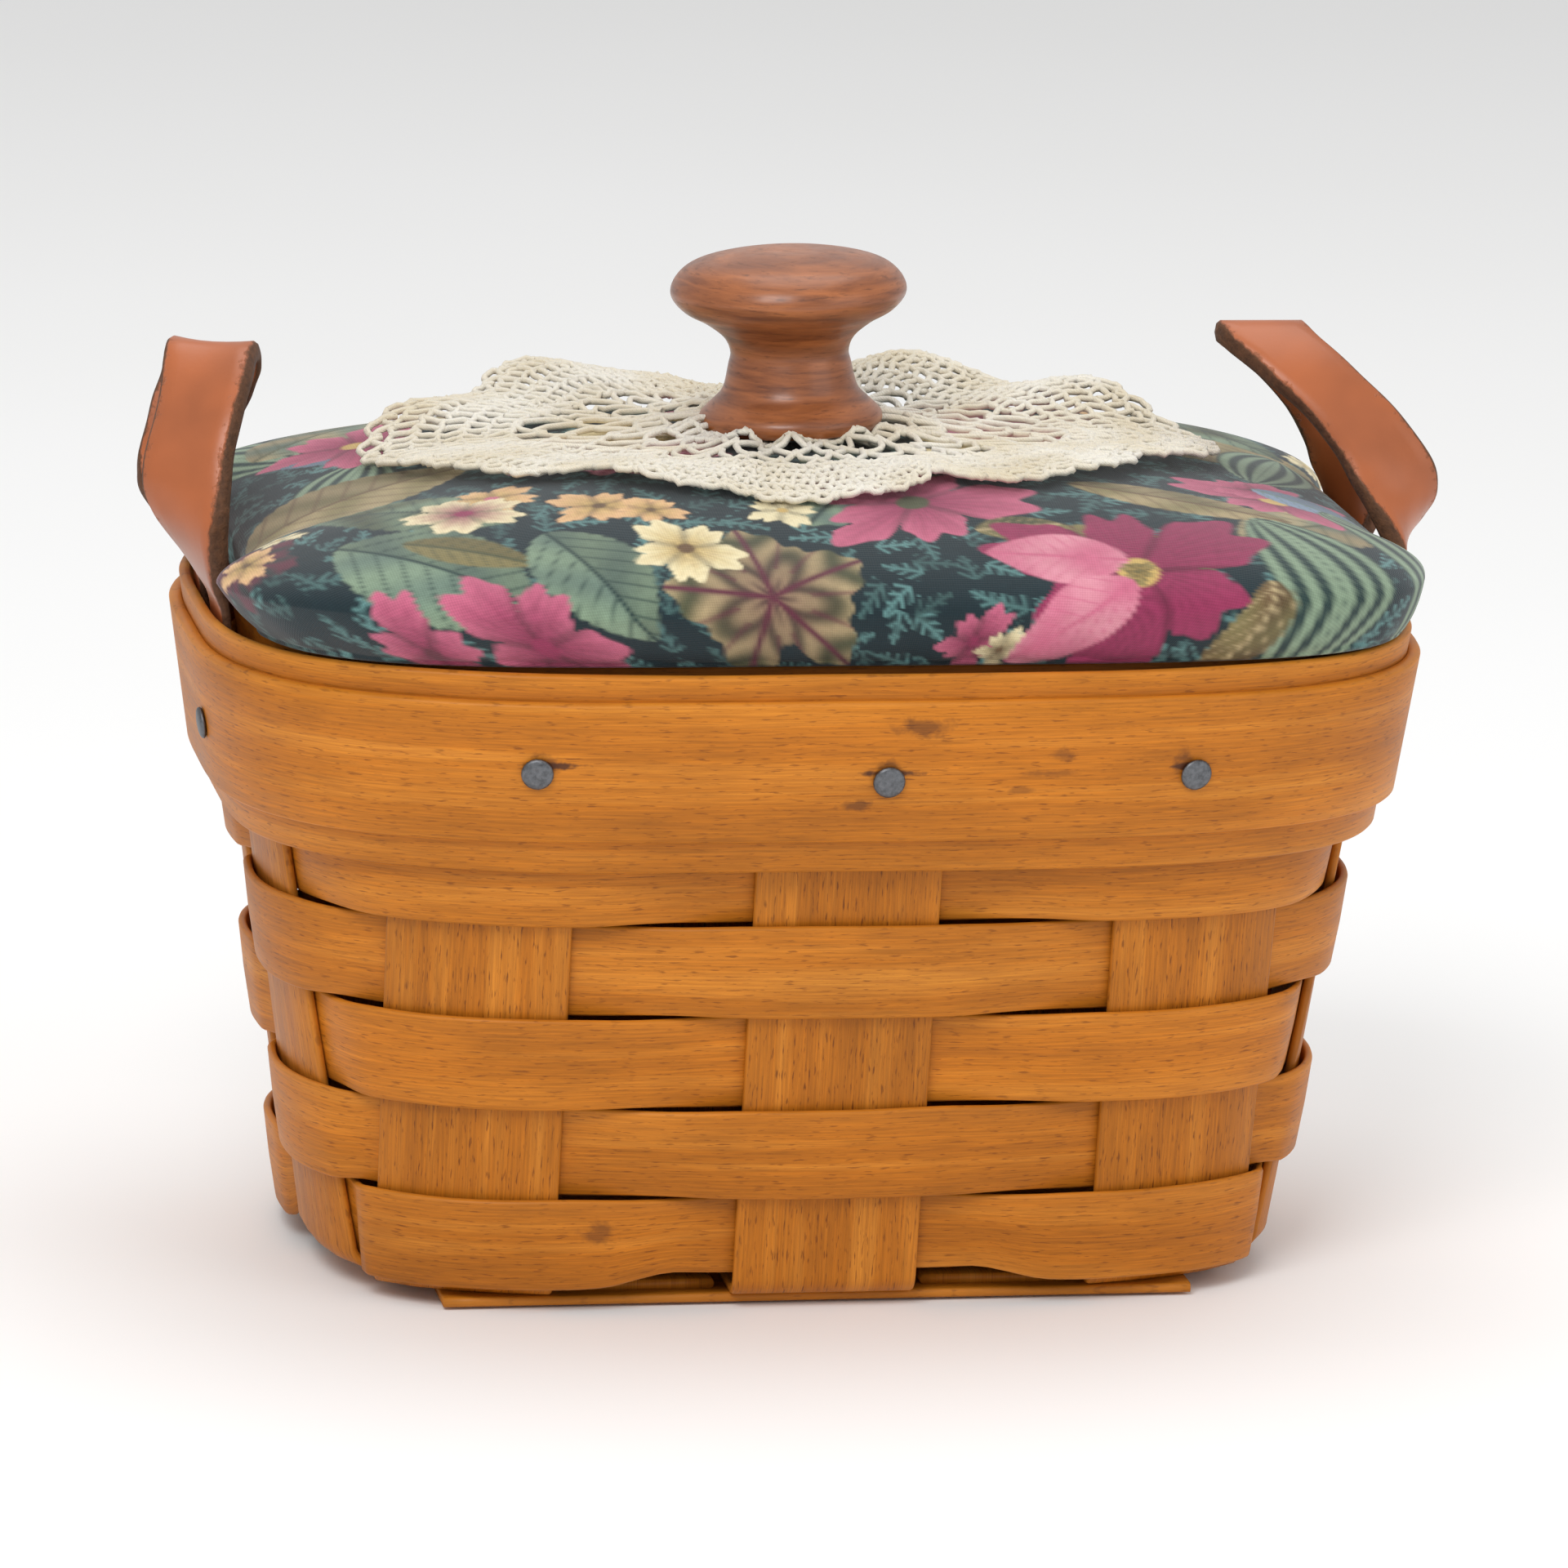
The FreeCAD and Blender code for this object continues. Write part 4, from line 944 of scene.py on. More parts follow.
class Print:
    """The colours of points on the flat cloth, in millimetres, painted over one motif at a time."""

    def __init__(self, places, ground):
        self.places = places
        self.colours = np.tile(np.array(ground[:3]), (len(places), 1))
        self.order = np.argsort(places[:, 0])
        self.sorted_x = places[self.order, 0]

    def near(self, centre, reach):
        first, last = np.searchsorted(self.sorted_x, (centre[0] - reach, centre[0] + reach))
        rows = self.order[first:last]
        return rows[np.abs(self.places[rows, 1] - centre[1]) < reach]

    def local(self, centre, reach, turn):
        """Rows near a centre and their places seen from it, turned by an angle in degrees."""
        rows = self.near(centre, reach)
        dx, dy = (self.places[rows] - centre).T
        c, s = math.cos(math.radians(turn)), math.sin(math.radians(turn))
        return rows, dx * c + dy * s, dy * c - dx * s

    def paint(self, rows, share, colour):
        colour = np.asarray(colour)[..., :3]
        self.colours[rows] = blend(self.colours[rows], colour, np.clip(share, 0, 1)[:, None])

    def flower(self, centre, radius, turn, inner, outer, heart, petals=5, stretch=1.0):
        """Notched petals that run from an inner to an outer colour, veined, with a small heart."""
        rows, x, y = self.local(centre, radius * 1.6, turn)
        y = y / stretch
        r, a = np.hypot(x, y), np.arctan2(y, x)
        place = (a * petals / (2 * math.pi)) % 1 - 0.5
        size = 1 + 0.16 * np.sin(3 * np.floor(a * petals / (2 * math.pi)) + turn)
        rim = radius * size * (0.48 + 0.52 * np.clip(1 - np.abs(2 * place) ** 2.6, 0, 1) ** 0.6)
        rim *= 1 - 0.07 * np.cos(place * 2 * math.pi * 3) - 0.05 * np.exp(-(place / 0.07) ** 2)
        inside = (rim - r) / 0.5 + 0.5
        share = np.clip(r / rim, 0, 1)[:, None] ** 1.1
        colour = blend(inner, outer, share)
        veins = 0.5 + 0.5 * np.sin(place * 46 + r * 0.35)
        colour = colour * (1 - 0.22 * (veins * np.clip(1.2 - share[:, 0], 0, 1))[:, None])
        edge = np.exp(-((np.abs(place) - 0.5) * r * 1.1 / 0.55) ** 2)
        colour = colour * (1 - 0.45 * edge[:, None])
        self.paint(rows, inside, colour)
        self.paint(rows, (radius * 0.16 - r) / 0.5 + 0.5, heart)

    def leaf(self, centre, length, width, turn, pale, deep, vein, teeth=14, fold=0.3):
        """A toothed leaf with a midrib and side veins, paler on one half."""
        rows, x, y = self.local(centre, length * 0.75, turn)
        t = np.clip(x / length + 0.5, 0, 1)
        half = width / 2 * np.sin(math.pi * t ** 0.85) ** 0.75
        half = half * (1 + 0.07 * np.abs(np.sin(t * teeth * math.pi)))
        inside = np.minimum((half - np.abs(y)) / 0.5 + 0.4, 8)
        inside = np.where(np.abs(x) < length / 2, inside, 0)
        tone = 0.5 + 0.5 * np.sin(x * 0.5 + np.abs(y) * 0.45 + turn)
        side = np.where(y > 0, 1 - fold, 1.0)
        mix = (tone * 0.7 + 0.3 * (np.abs(y) / np.maximum(half, 0.1)))[:, None]
        colour = blend(deep, pale, mix) * side[:, None]
        side_veins = np.exp(-(((x - np.abs(y) * 0.8) / (length / 8) + 40) % 1 - 0.5) ** 2 / 0.008)
        midrib = np.exp(-(y / 0.35) ** 2)
        line = np.maximum(midrib, side_veins * 0.6)[:, None]
        self.paint(rows, inside, blend(colour, vein, line))

    def vine_leaf(self, centre, radius, turn, pale, deep, vein, lobes=5):
        """A rounded, lobed leaf with veins that fan from its stalk."""
        rows, x, y = self.local(centre, radius * 1.3, turn)
        r, a = np.hypot(x, y), np.arctan2(y, x)
        stalk = np.exp(-((np.abs(a) - math.pi) / 0.35) ** 2)
        rim = radius * (0.84 + 0.12 * np.cos(a * lobes) + 0.035 * np.cos(a * lobes * 4) - 0.3 * stalk)
        inside = (rim - r) / 0.5 + 0.5
        mix = (0.5 + 0.5 * np.sin(r * 0.8 + np.cos(a * 5) * 2.2))[:, None]

        def from_vein(count):
            return np.abs(((a * count / (2 * math.pi) + 0.5) % 1) - 0.5) * r * 2 * math.pi / count

        main_veins = np.exp(-(from_vein(lobes) / 0.5) ** 2)
        small_veins = 0.55 * np.exp(-(from_vein(lobes * 3) / 0.4) ** 2) * (r > radius * 0.35)
        blush = np.exp(-(r / (radius * 0.55)) ** 2)[:, None] * 0.55
        colour = blend(blend(deep, pale, mix), vein, blush)
        self.paint(rows, inside, blend(colour, vein, np.maximum(main_veins, small_veins)[:, None]))

    def striped_leaf(self, centre, length, width, turn, pale, deep):
        """A long leaf with stripes that follow its edge."""
        rows, x, y = self.local(centre, length * 0.6, turn)
        t = np.clip(x / length + 0.5, 0, 1)
        half = width / 2 * np.sin(math.pi * t) ** 0.6
        inside = np.where(np.abs(x) < length / 2, (half - np.abs(y)) / 0.5 + 0.4, 0)
        stripes = 0.5 + 0.5 * np.sin(np.abs(y) / np.maximum(half, 0.5) * 17)
        mix = np.clip(stripes * 1.6 - 0.3, 0, 1)[:, None]
        self.paint(rows, inside, blend(deep, pale, mix))

    def sprig(self, centre, length, turn, colour):
        """A small fern: a bent stem with pairs of short leaflets."""
        rows, x, y = self.local(centre, length * 0.7, turn)
        y = y - 0.07 * length * np.sin(x / length * 3)
        within = np.abs(x) < length / 2
        stem = np.exp(-(y / 0.34) ** 2) * within
        beat = ((x - np.abs(y) * 0.8) / 1.75 + 40) % 1 - 0.5
        reach = 1.9 * np.clip(0.75 - x / length, 0.2, 1)
        leaflets = np.exp(-(beat / 0.2) ** 2) * (np.abs(y) < reach) * within
        self.paint(rows, np.maximum(stem, leaflets) * 0.9, colour)


def floral_print(places):
    """The whole print: sprigs on a dark ground, then leaves and flowers, first the back half's."""
    lid = settings()[1]
    ground, sage = np.array(lid.ground[:3]), np.array(lid.sprig[:3])
    cloth = Print(places, ground)
    rng = np.random.default_rng(21)
    for gx in np.arange(-114, 115, 5.6):
        for gy in np.arange(-96, 97, 5.4):
            spot = (gx + rng.uniform(-1.8, 1.8), gy + rng.uniform(-1.8, 1.8))
            tone = sage * rng.uniform(0.35, 1.1)
            cloth.sprig(spot, rng.uniform(4.6, 6.6), rng.uniform(0, 360), tone)
    colours = {name: np.array(srgb(*rgb)[:3]) for name, rgb in PALETTE.items()}
    turned = [(kind, -x + 3, -y, size, turn + 180, *extra) for kind, x, y, size, turn, *extra in MOTIFS]
    for kind, x, y, size, turn, *extra in turned + MOTIFS:
        extra = [colours.get(value, value) if isinstance(value, str) else value for value in extra]
        {"flower": cloth.flower, "leaf": cloth.leaf, "vine": cloth.vine_leaf,
         "striped": cloth.striped_leaf}[kind]((x, y), size, *LAYOUT[kind](turn, extra))
    return cloth.colours


PALETTE = {
    "magenta": (140, 46, 82), "rose": (188, 98, 124), "blush": (208, 138, 152), "wine": (92, 40, 56),
    "cream": (232, 218, 176), "peach": (224, 178, 132), "gold": (190, 160, 96), "olive": (124, 114, 74),
    "moss": (74, 78, 54), "sage": (126, 146, 122), "grey_green": (96, 116, 104), "pine": (32, 54, 52),
    "tan": (168, 150, 112), "blue_grey": (122, 140, 162), "brown": (98, 74, 50),
}

# What each kind of motif takes after its size: the turn, and its own widths and colours
LAYOUT = {
    "flower": lambda turn, extra: (turn, *extra),
    "leaf": lambda turn, extra: (extra[0], turn, *extra[1:]),
    "vine": lambda turn, extra: (turn, *extra),
    "striped": lambda turn, extra: (extra[0], turn, *extra[1:]),
}

# kind, place along and across the cloth, size, turn, then the kind's own width and colours
MOTIFS = [
    ("leaf", -62, -12, 36, 24, 19, "tan", "olive", "brown"),
    ("leaf", -60, 34, 30, 40, 15, "tan", "grey_green", "moss"),
    ("leaf", -30, 50, 30, -20, 15, "olive", "moss", "wine"),
    ("vine", 2, 30, 15, 60, "sage", "grey_green", "pine"),
    ("flower", -58, 20, 12, 20, "magenta", "rose", "gold"),
    ("flower", 30, 8, 14, 50, "magenta", "blush", "olive"),
    ("flower", -22, 2, 11, 10, "gold", "cream", "brown"),
    ("leaf", 60, 30, 30, -35, 15, "sage", "moss", "pine"),
    ("striped", 66, 6, 30, 70, 14, "sage", "pine"),
    ("leaf", 46, -30, 30, -16, 11, "tan", "olive", "brown"),
    ("flower", 60, -14, 8, 15, "magenta", "rose", "wine", 4, 0.7),
    ("leaf", 67, -17, 17, -28, 9, "blue_grey", "blue_grey", "grey_green"),
    ("striped", 64, -51, 38, -62, 19, "sage", "pine"),
    ("striped", 81, -35, 42, -52, 19, "sage", "pine"),
    ("leaf", 56, -62, 18, -80, 9, "olive", "brown", "tan"),
    ("vine", -80, -36, 9, 30, "wine", "pine", "wine"),
    ("flower", -79, -36, 4.4, 20, "gold", "peach", "brown"),
    ("flower", -74, -28, 3.6, 70, "cream", "cream", "gold"),
    ("leaf", -57, -50, 29, -42, 19, "sage", "grey_green", "pine"),
    ("leaf", -52, -47, 18, -30, 7, "olive", "olive", "moss"),
    ("leaf", -37, -54, 23, -66, 15, "sage", "grey_green", "pine"),
    ("flower", -66, -62, 8, 40, "magenta", "rose", "wine"),
    ("flower", -49, -64, 10.5, 18, "magenta", "rose", "magenta"),
    ("flower", -46, -29, 6.2, 15, "gold", "peach", "rose"),
    ("flower", -50.5, -34.5, 8.2, 0, "magenta", "cream", "magenta", 5, 0.8),
    ("flower", -33, -35.5, 6.8, 30, "gold", "peach", "brown", 5, 0.8),
    ("flower", -26.5, -37.5, 4.4, 10, "gold", "peach", "brown"),
    ("flower", -9, -38, 4.8, 40, "cream", "cream", "gold"),
    ("vine", -14, -59, 15, 100, "tan", "moss", "wine"),
    ("flower", -24, -49, 7.4, 12, "gold", "cream", "brown"),
    ("flower", 9, -35.5, 15, 36, "magenta", "rose", "moss", 5, 0.85),
    ("flower", 15.5, -65, 5, 20, "magenta", "rose", "magenta"),
    ("flower", 20, -66, 3.2, 20, "tan", "cream", "brown"),
    ("leaf", 22, -43, 12, 10, 6, "olive", "moss", "tan"),
    ("flower", 36.5, -53.5, 17.5, 8, "magenta", "magenta", "gold", 6),
    ("leaf", 26, -50.5, 19, 176, 10.5, "blush", "rose", "rose", 1, 0.0),
    ("leaf", 29, -61.5, 19, 222, 10, "blush", "rose", "rose", 1, 0.0),
    ("flower", 36.5, -53.5, 2.2, 8, "gold", "olive", "moss", 6),
]


# ---- doily --------------------------------------------------------------------------

KNOB_X = LID_SHIFT - 1.4
KNOB_FOOT = 12.2              # radius of the knob's foot
DOILY_HALF = np.array([56.0, 37.0])
DOILY_CENTRE = np.array([KNOB_X, 2.0])


def near_angle(angle, centre, spread):
    """1 at a centre in degrees, fading to 0 over a spread on either side."""
    away = np.abs((angle - math.radians(centre) + math.pi) % (2 * math.pi) - math.pi)
    return np.exp(-(away / math.radians(spread)) ** 2)


def doily_place(angle, share):
    """Points of the doily at angles round it and shares of the way to its edge, draped on the lid."""
    angle, share = np.asarray(angle, float), np.asarray(share, float)
    lobes = 1 + 0.02 * np.cos(angle * 8 + 0.6) + 0.02 * np.cos(angle * 3 - 1)
    reach = 1 / np.sqrt((np.cos(angle) / DOILY_HALF[0]) ** 2 + (np.sin(angle) / DOILY_HALF[1]) ** 2)
    radius = reach * share * lobes
    for centre, spread, depth in NOTCHES:
        radius = radius - depth * near_angle(angle, centre, spread) * smooth_step(0.55, 1.0, share)
    x = DOILY_CENTRE[0] + radius * np.cos(angle)
    y = DOILY_CENTRE[1] + radius * np.sin(angle)
    lift = 1.0 + np.zeros_like(x)
    outer = smooth_step(0.30, 1.0, share)
    for centre, spread, height, start in RUFFLES:
        lift += height * near_angle(angle, centre, spread) * smooth_step(start, 1.0, share)
    lift += 0.7 * np.sin(angle * 13 + 2) * outer * share
    gather = np.exp(-((radius - KNOB_FOOT) / 7.0) ** 2)
    lift += gather * (1.1 + 0.9 * np.sin(angle * 11 + 0.8) + 0.5 * np.sin(angle * 17))
    lift = np.maximum(lift, 0.95)
    z = crown_height(x, y) + lift
    return np.stack([x, y, z], axis=-1)


# angle and spread in degrees, and depth in mm, of the folds that draw the edge in
NOTCHES = [(296, 5, 4.5), (222, 6, 4.5), (341, 6, 4.0), (150, 6, 3.0), (75, 6, 3.0), (110, 5, 2.5)]

# angle in degrees, spread in degrees, height in mm, share of the way out where it starts
RUFFLES = [
    (128, 20, 6.0, 0.45), (60, 22, 6.5, 0.45), (95, 10, 2.0, 0.5), (22, 14, 4.0, 0.5), (160, 14, 2.5, 0.5),
    (232, 8, 2.8, 0.6), (290, 7, 2.2, 0.6), (318, 9, 1.8, 0.6), (205, 8, 1.6, 0.6), (345, 10, 2.0, 0.6),
]


def thread_net():
    """The doily's threads as points and edges: solid bands, open arches and a picot edge."""
    points, edges = [], []

    def run(angles, shares, closed=False):
        first = len(points)
        for place in doily_place(angles, shares):
            points.append(place)
        count = len(angles)
        for k in range(count - 1):
            edges.append((first + k, first + k + 1))
        if closed:
            edges.append((first + count - 1, first))

    def round_of(share, stitches, wave=0.006, samples=4):
        angle = np.arange(stitches * samples) * 2 * math.pi / (stitches * samples)
        run(angle, share + wave * np.sin(angle * stitches), closed=True)

    def posts(low, high, count, slant=0.0, wave=0.0):
        turn = 2 * math.pi / count
        for k in range(count):
            t = np.linspace(0, 1, 4)
            run(k * turn + slant * turn * t, low + (high - low) * t + wave * np.sin(k * 2.1))

    def arches(low, high, count, shift=0.0):
        turn = 2 * math.pi / count
        for k in range(count):
            t = np.linspace(0, 1, 9)
            run((k + shift + t) * turn, low + (high - low) * np.sin(math.pi * t) ** 0.8)

    posts(0.20, 0.29, 60)
    round_of(0.29, 60)
    posts(0.29, 0.36, 72, 0.3)
    round_of(0.36, 72)
    arches(0.36, 0.46, 22)
    arches(0.43, 0.53, 22, 0.5)
    arches(0.51, 0.60, 26)
    arches(0.57, 0.66, 30, 0.5)
    round_of(0.655, 100)
    counts = (128, 138, 146, 154, 162)
    levels = np.linspace(0.655, 0.945, 6)
    for k, count in enumerate(counts):
        posts(levels[k], levels[k + 1], count, 0.35 * (-1) ** k)
        round_of(levels[k + 1], count - 20)
    arches(0.945, 0.99, 66)
    arches(0.965, 1.012, 66, 0.5)
    shaken = np.array(points)
    shaken += np.random.default_rng(5).normal(0, 0.10, shaken.shape)
    return shaken, edges


def tree_input(tree, name, kind, default):
    """Adds an input with a default to a tree's interface."""
    socket = tree.interface.new_socket(name=name, in_out="INPUT", socket_type=kind)
    if default is not None:
        socket.default_value = default
    return socket


def new_tree(name):
    """An empty geometry tree with its two geometry sockets."""
    tree = bpy.data.node_groups.new(name, "GeometryNodeTree")
    tree.interface.new_socket(name="Geometry", in_out="INPUT", socket_type="NodeSocketGeometry")
    tree.interface.new_socket(name="Geometry", in_out="OUTPUT", socket_type="NodeSocketGeometry")
    return tree


def end_tree(tree, geometry, material):
    """Ends a tree with real geometry in its material."""
    real = tree_node(tree, "GeometryNodeRealizeInstances", {"Geometry": geometry})
    dressed = tree_node(tree, "GeometryNodeSetMaterial", {"Geometry": real.outputs["Geometry"],
                                                          "Material": material})
    tree_node(tree, "NodeGroupOutput", {"Geometry": dressed.outputs["Geometry"]})
    return tree


def apply_tree(obj, tree, values, name):
    """Runs a node tree on an object and returns its result as a plain mesh object."""
    modifier = obj.modifiers.new("nodes", "NODES")
    modifier.node_group = tree
    for item in tree.interface.items_tree:
        if item.item_type == "SOCKET" and item.in_out == "INPUT" and item.name in values:
            modifier[item.identifier] = values[item.name]
    graph = bpy.context.evaluated_depsgraph_get()
    mesh = bpy.data.meshes.new_from_object(obj.evaluated_get(graph))
    obj.modifiers.remove(modifier)
    bpy.data.objects.remove(obj)
    mesh.name = name
    return new_object(name, mesh)


def thread_tree(material):
    """Turns a net of edges into round threads."""
    tree = new_tree("crochet_thread")
    tree_input(tree, "Thread Radius", "NodeSocketFloat", 0.48 * MM)
    tree_input(tree, "Sides", "NodeSocketInt", 5)
    group = tree_node(tree, "NodeGroupInput")
    curve = tree_node(tree, "GeometryNodeMeshToCurve", {"Mesh": group.outputs["Geometry"]})
    profile = tree_node(tree, "GeometryNodeCurvePrimitiveCircle", {"Resolution": group.outputs["Sides"],
                                                                   "Radius": group.outputs["Thread Radius"]})
    tube = tree_node(tree, "GeometryNodeCurveToMesh", {"Curve": curve.outputs["Curve"],
                                                       "Profile Curve": profile.outputs["Curve"],
                                                       "Fill Caps": True})
    return end_tree(tree, tube.outputs["Mesh"], material)


def tack_tree(material):
    """Puts a tack on every point, along the point's own direction."""
    tree = new_tree("rim_tacks")
    tree_input(tree, "Tack", "NodeSocketObject", None)
    tree_input(tree, "Turn Seed", "NodeSocketInt", 4)
    group = tree_node(tree, "NodeGroupInput")
    shape = tree_node(tree, "GeometryNodeObjectInfo", {"Object": group.outputs["Tack"]})
    facing = tree_node(tree, "GeometryNodeInputNamedAttribute", {"Name": "facing"}, data_type="FLOAT_VECTOR")
    turn = tree_node(tree, "FunctionNodeAlignRotationToVector", {"Vector": facing.outputs["Attribute"]},
                     axis="Z")
    spin = tree_node(tree, "FunctionNodeRandomValue", {"Min": 0.0, "Max": 6.28,
                                                       "Seed": group.outputs["Turn Seed"]}, data_type="FLOAT")
    spun = tree_node(tree, "FunctionNodeAxisAngleToRotation", {"Axis": (0, 0, 1), "Angle": spin.outputs[1]})
    both = tree_node(tree, "FunctionNodeRotateRotation", {"Rotation": turn.outputs["Rotation"],
                                                          "Rotate By": spun.outputs["Rotation"]},
                     rotation_space="LOCAL")
    placed = tree_node(tree, "GeometryNodeInstanceOnPoints", {"Points": group.outputs["Geometry"],
                                                              "Instance": shape.outputs["Geometry"],
                                                              "Rotation": both.outputs["Rotation"]})
    return end_tree(tree, placed.outputs["Instances"], material)


def lathe(name, side, columns=96):
    """A closed turned shape about Z from (radius, height) pairs, first and last on the axis."""
    angles = 2 * math.pi * np.arange(columns) / columns
    vertices = [(0, 0, side[0][1])]
    for r, z in side[1:-1]:
        vertices += [(r * math.cos(a), r * math.sin(a), z) for a in angles]
    vertices.append((0, 0, side[-1][1]))
    rings = len(side) - 2
    faces = []
    for k in range(columns):
        k2 = (k + 1) % columns
        faces.append((0, 1 + k2, 1 + k))
        for ring in range(rings - 1):
            a, b = 1 + ring * columns, 1 + (ring + 1) * columns
            faces.append((a + k, a + k2, b + k2, b + k))
        a = 1 + (rings - 1) * columns
        faces.append((a + k, a + k2, len(vertices) - 1))
    obj = mesh_object(name, vertices, faces)
    recalculate_normals(obj)
    return obj


def tack_shape():
    """A cut tack: a slightly domed, hand-struck head on a tapered shank."""
    side = [(0, -8.2), (0.25, -7.6), (0.62, -6.2), (0.65, 0.0), (1.9, 0.0), (2.1, 0.18), (2.06, 0.42),
            (1.75, 0.62), (1.2, 0.72), (0.6, 0.76), (0, 0.77)]
    return lathe("tack_shape", side, columns=20)


# each tack's upright, how far to the right of its middle the tack is, and how far above the others
FRONT_TACKS = [(6, 6.8, 1.6), (7, 3.3, 0.4), (8, -4.9, 0.5)]
OTHER_TACKS = [(stake, 0.0, 0.0) for stake in (1, 2, 3, 5, 9)]
CENTRE_STAKE = 7
TACK_Z = RIM - 13.4


def tack_places():
    """Where the tacks' heads seat, with the direction that they face."""
    places, facings = [], []
    for stake, shift, rise in OTHER_TACKS + FRONT_TACKS:
        z = TACK_Z + rise

        def wall(height, extra=0.0):
            plan = Plan(height)
            return plan.place(np.array([plan.stake_arcs()[stake] + shift + extra]))[0][0]

        normal = np.cross(wall(z, 1) - wall(z, -1), wall(z + 5) - wall(z - 5))
        normal /= np.linalg.norm(normal)
        reach = (TRIM_OFFSET + TRIM_THICK / 2) / math.hypot(normal[0], normal[1])
        places.append(wall(z) + normal * reach)
        facings.append(normal)
    return np.array(places), np.array(facings)


# radius and height of the knob's outline
KNOB_SIDE = [(0, 0), (11.8, 0), (12.2, 0.9), (12.0, 2), (10.6, 3.4), (9, 5.2), (8.2, 8.4), (7.9, 10.2),
             (8.8, 12.2), (11.3, 14.2), (14.1, 15.8), (15.7, 18), (14.8, 20.4), (12.1, 22.2), (6.3, 23.4),
             (0, 23.6)]
KNOB_LEAN = 2.4               # degrees to the left


def smooth_profile(side, pieces=6):
    curve = smooth_rows(side[1:], pieces)
    curve[:, 0] = np.maximum(curve[:, 0], 0)
    return [side[0]] + [tuple(p) for p in curve[:-1]] + [side[-1]]


# ---- operators ----------------------------------------------------------------------

class BASKET_OT_rim_bands(bpy.types.Operator):
    """Bends the three rim bands round the top of the basket"""
    bl_idname = "basket.rim_bands"
    bl_label = "Rim Bands"

    def execute(self, context):
        marks = [(7.5, 82.0, 9.0, 3.4, 0.62), (-1.0, 71.4, 5.2, 2.2, 0.6), (26, 78.0, 4.6, 2.8, 0.4),
                 (24, 75.4, 9.5, 1.5, 0.35), (21, 73.2, 4.2, 1.5, 0.4)]
        for size in ((9.5, 1.1, 0.9), (4.6, 4.6, 0.6)):         # a streak and a round stain at each tack
            marks += [(FRONT_PITCH * (stake - CENTRE_STAKE) + shift, TACK_Z + rise, *size)
                      for stake, shift, rise in FRONT_TACKS]
        trim = splint_finish("trim_maple", seed=1.0, stains=marks)
        plain = splint_finish("band_maple", seed=2.0, tone=0.96)
        pieces = (("outer_band", BAND_OFFSET, BAND_THICK, BAND_LOW[2], RIM, plain),
                  ("trim_strip", TRIM_OFFSET, TRIM_THICK, TRIM_LOW[2], TRIM_HIGH[2], trim),
                  ("inner_band", INNER_OFFSET, BAND_THICK, INNER_LOW[2], RIM, plain))
        for number, (node, offset, thickness, low_z, high_z, material) in enumerate(pieces):
            made = band(node + "_splint", offset, thickness, low_z, high_z, number + 1)
            finish_piece(made, "basket", "maple_band", material, node)
        return {"FINISHED"}


class BASKET_OT_weavers(bpy.types.Operator):
    """Weaves the six rows in and out of the uprights"""
    bl_idname = "basket.weavers"
    bl_label = "Woven Rows"

    def execute(self, context):
        for number, node in enumerate(ROW_NAMES):
            marks = [(-30.5, 11.0, 7.0, 4.0, 0.5)] if number == 5 else []
            tone = 1.0 - 0.03 * (number % 3)
            material = splint_finish(f"row_maple_{number}", seed=3.0 + number, tone=tone, stains=marks)
            finish_piece(weaver(node + "_splint", number), "basket", "maple_weaver", material, node)
        return {"FINISHED"}


class BASKET_OT_stakes(bpy.types.Operator):
    """Bends the five uprights round the base and lays the short base splints between them"""
    bl_idname = "basket.stakes"
    bl_label = "Uprights And Base"

    def execute(self, context):
        low = STAKE_THICK
        uprights = (("front_back_stake_left", 6, 3, low), ("front_back_stake_centre", 7, 2, low),
                    ("front_back_stake_right", 8, 1, low), ("left_right_stake_front", 5, 9, 2 * low),
                    ("left_right_stake_back", 4, 0, 2 * low))
        for number, (node, front, back, low_z) in enumerate(uprights):
            material = splint_finish(f"stake_maple_{number}", seed=11.0 + number, tone=0.90, flecks=0.8)
            finish_piece(stake(node + "_splint", front, back, low_z), "basket", "maple_stake", material, node)
        material = splint_finish("base_maple", seed=19.0, tone=0.85)
        for node in ("base_filler_left", "base_filler_right", "base_brace_front", "base_brace_centre",
                     "base_brace_back"):
            finish_piece(base_splint(node), "basket", "maple_base", material, node)
        return {"FINISHED"}


class BASKET_OT_tacks(bpy.types.Operator):
    """Drives the eight tacks through the rim"""
    bl_idname = "basket.tacks"
    bl_label = "Rim Tacks"

    def execute(self, context):
        material = steel_finish("tack_steel_finish", srgb(120, 122, 126))
        shape = tack_shape()
        places, facings = tack_places()
        mesh = bpy.data.meshes.new("tack_points")
        mesh.from_pydata((places * MM).tolist(), [], [])
        mesh.attributes.new("facing", "FLOAT_VECTOR", "POINT").data.foreach_set("vector", facings.ravel())
        points = new_object("tack_points", mesh)
        made = apply_tree(points, tack_tree(material), {"Tack": shape, "Turn Seed": 4}, "tack_heads")
        bpy.data.objects.remove(shape)
        finish_piece(made, "basket", "tack_steel", material, "tacks")
        return {"FINISHED"}


class BASKET_OT_ears(bpy.types.Operator):
    """Twists the two leather ears up from behind the rim"""
    bl_idname = "basket.ears"
    bl_label = "Leather Ears"

    def execute(self, context):
        material = leather_finish("russet_leather")
        for node, *shape in (("left_ear", -1, 32.0, 0.0, 34), ("right_ear", 1, 34.5, 15.0, 0)):
            finish_piece(ear(node + "_strap", *shape), "basket", "ear_leather", material, node)
        return {"FINISHED"}


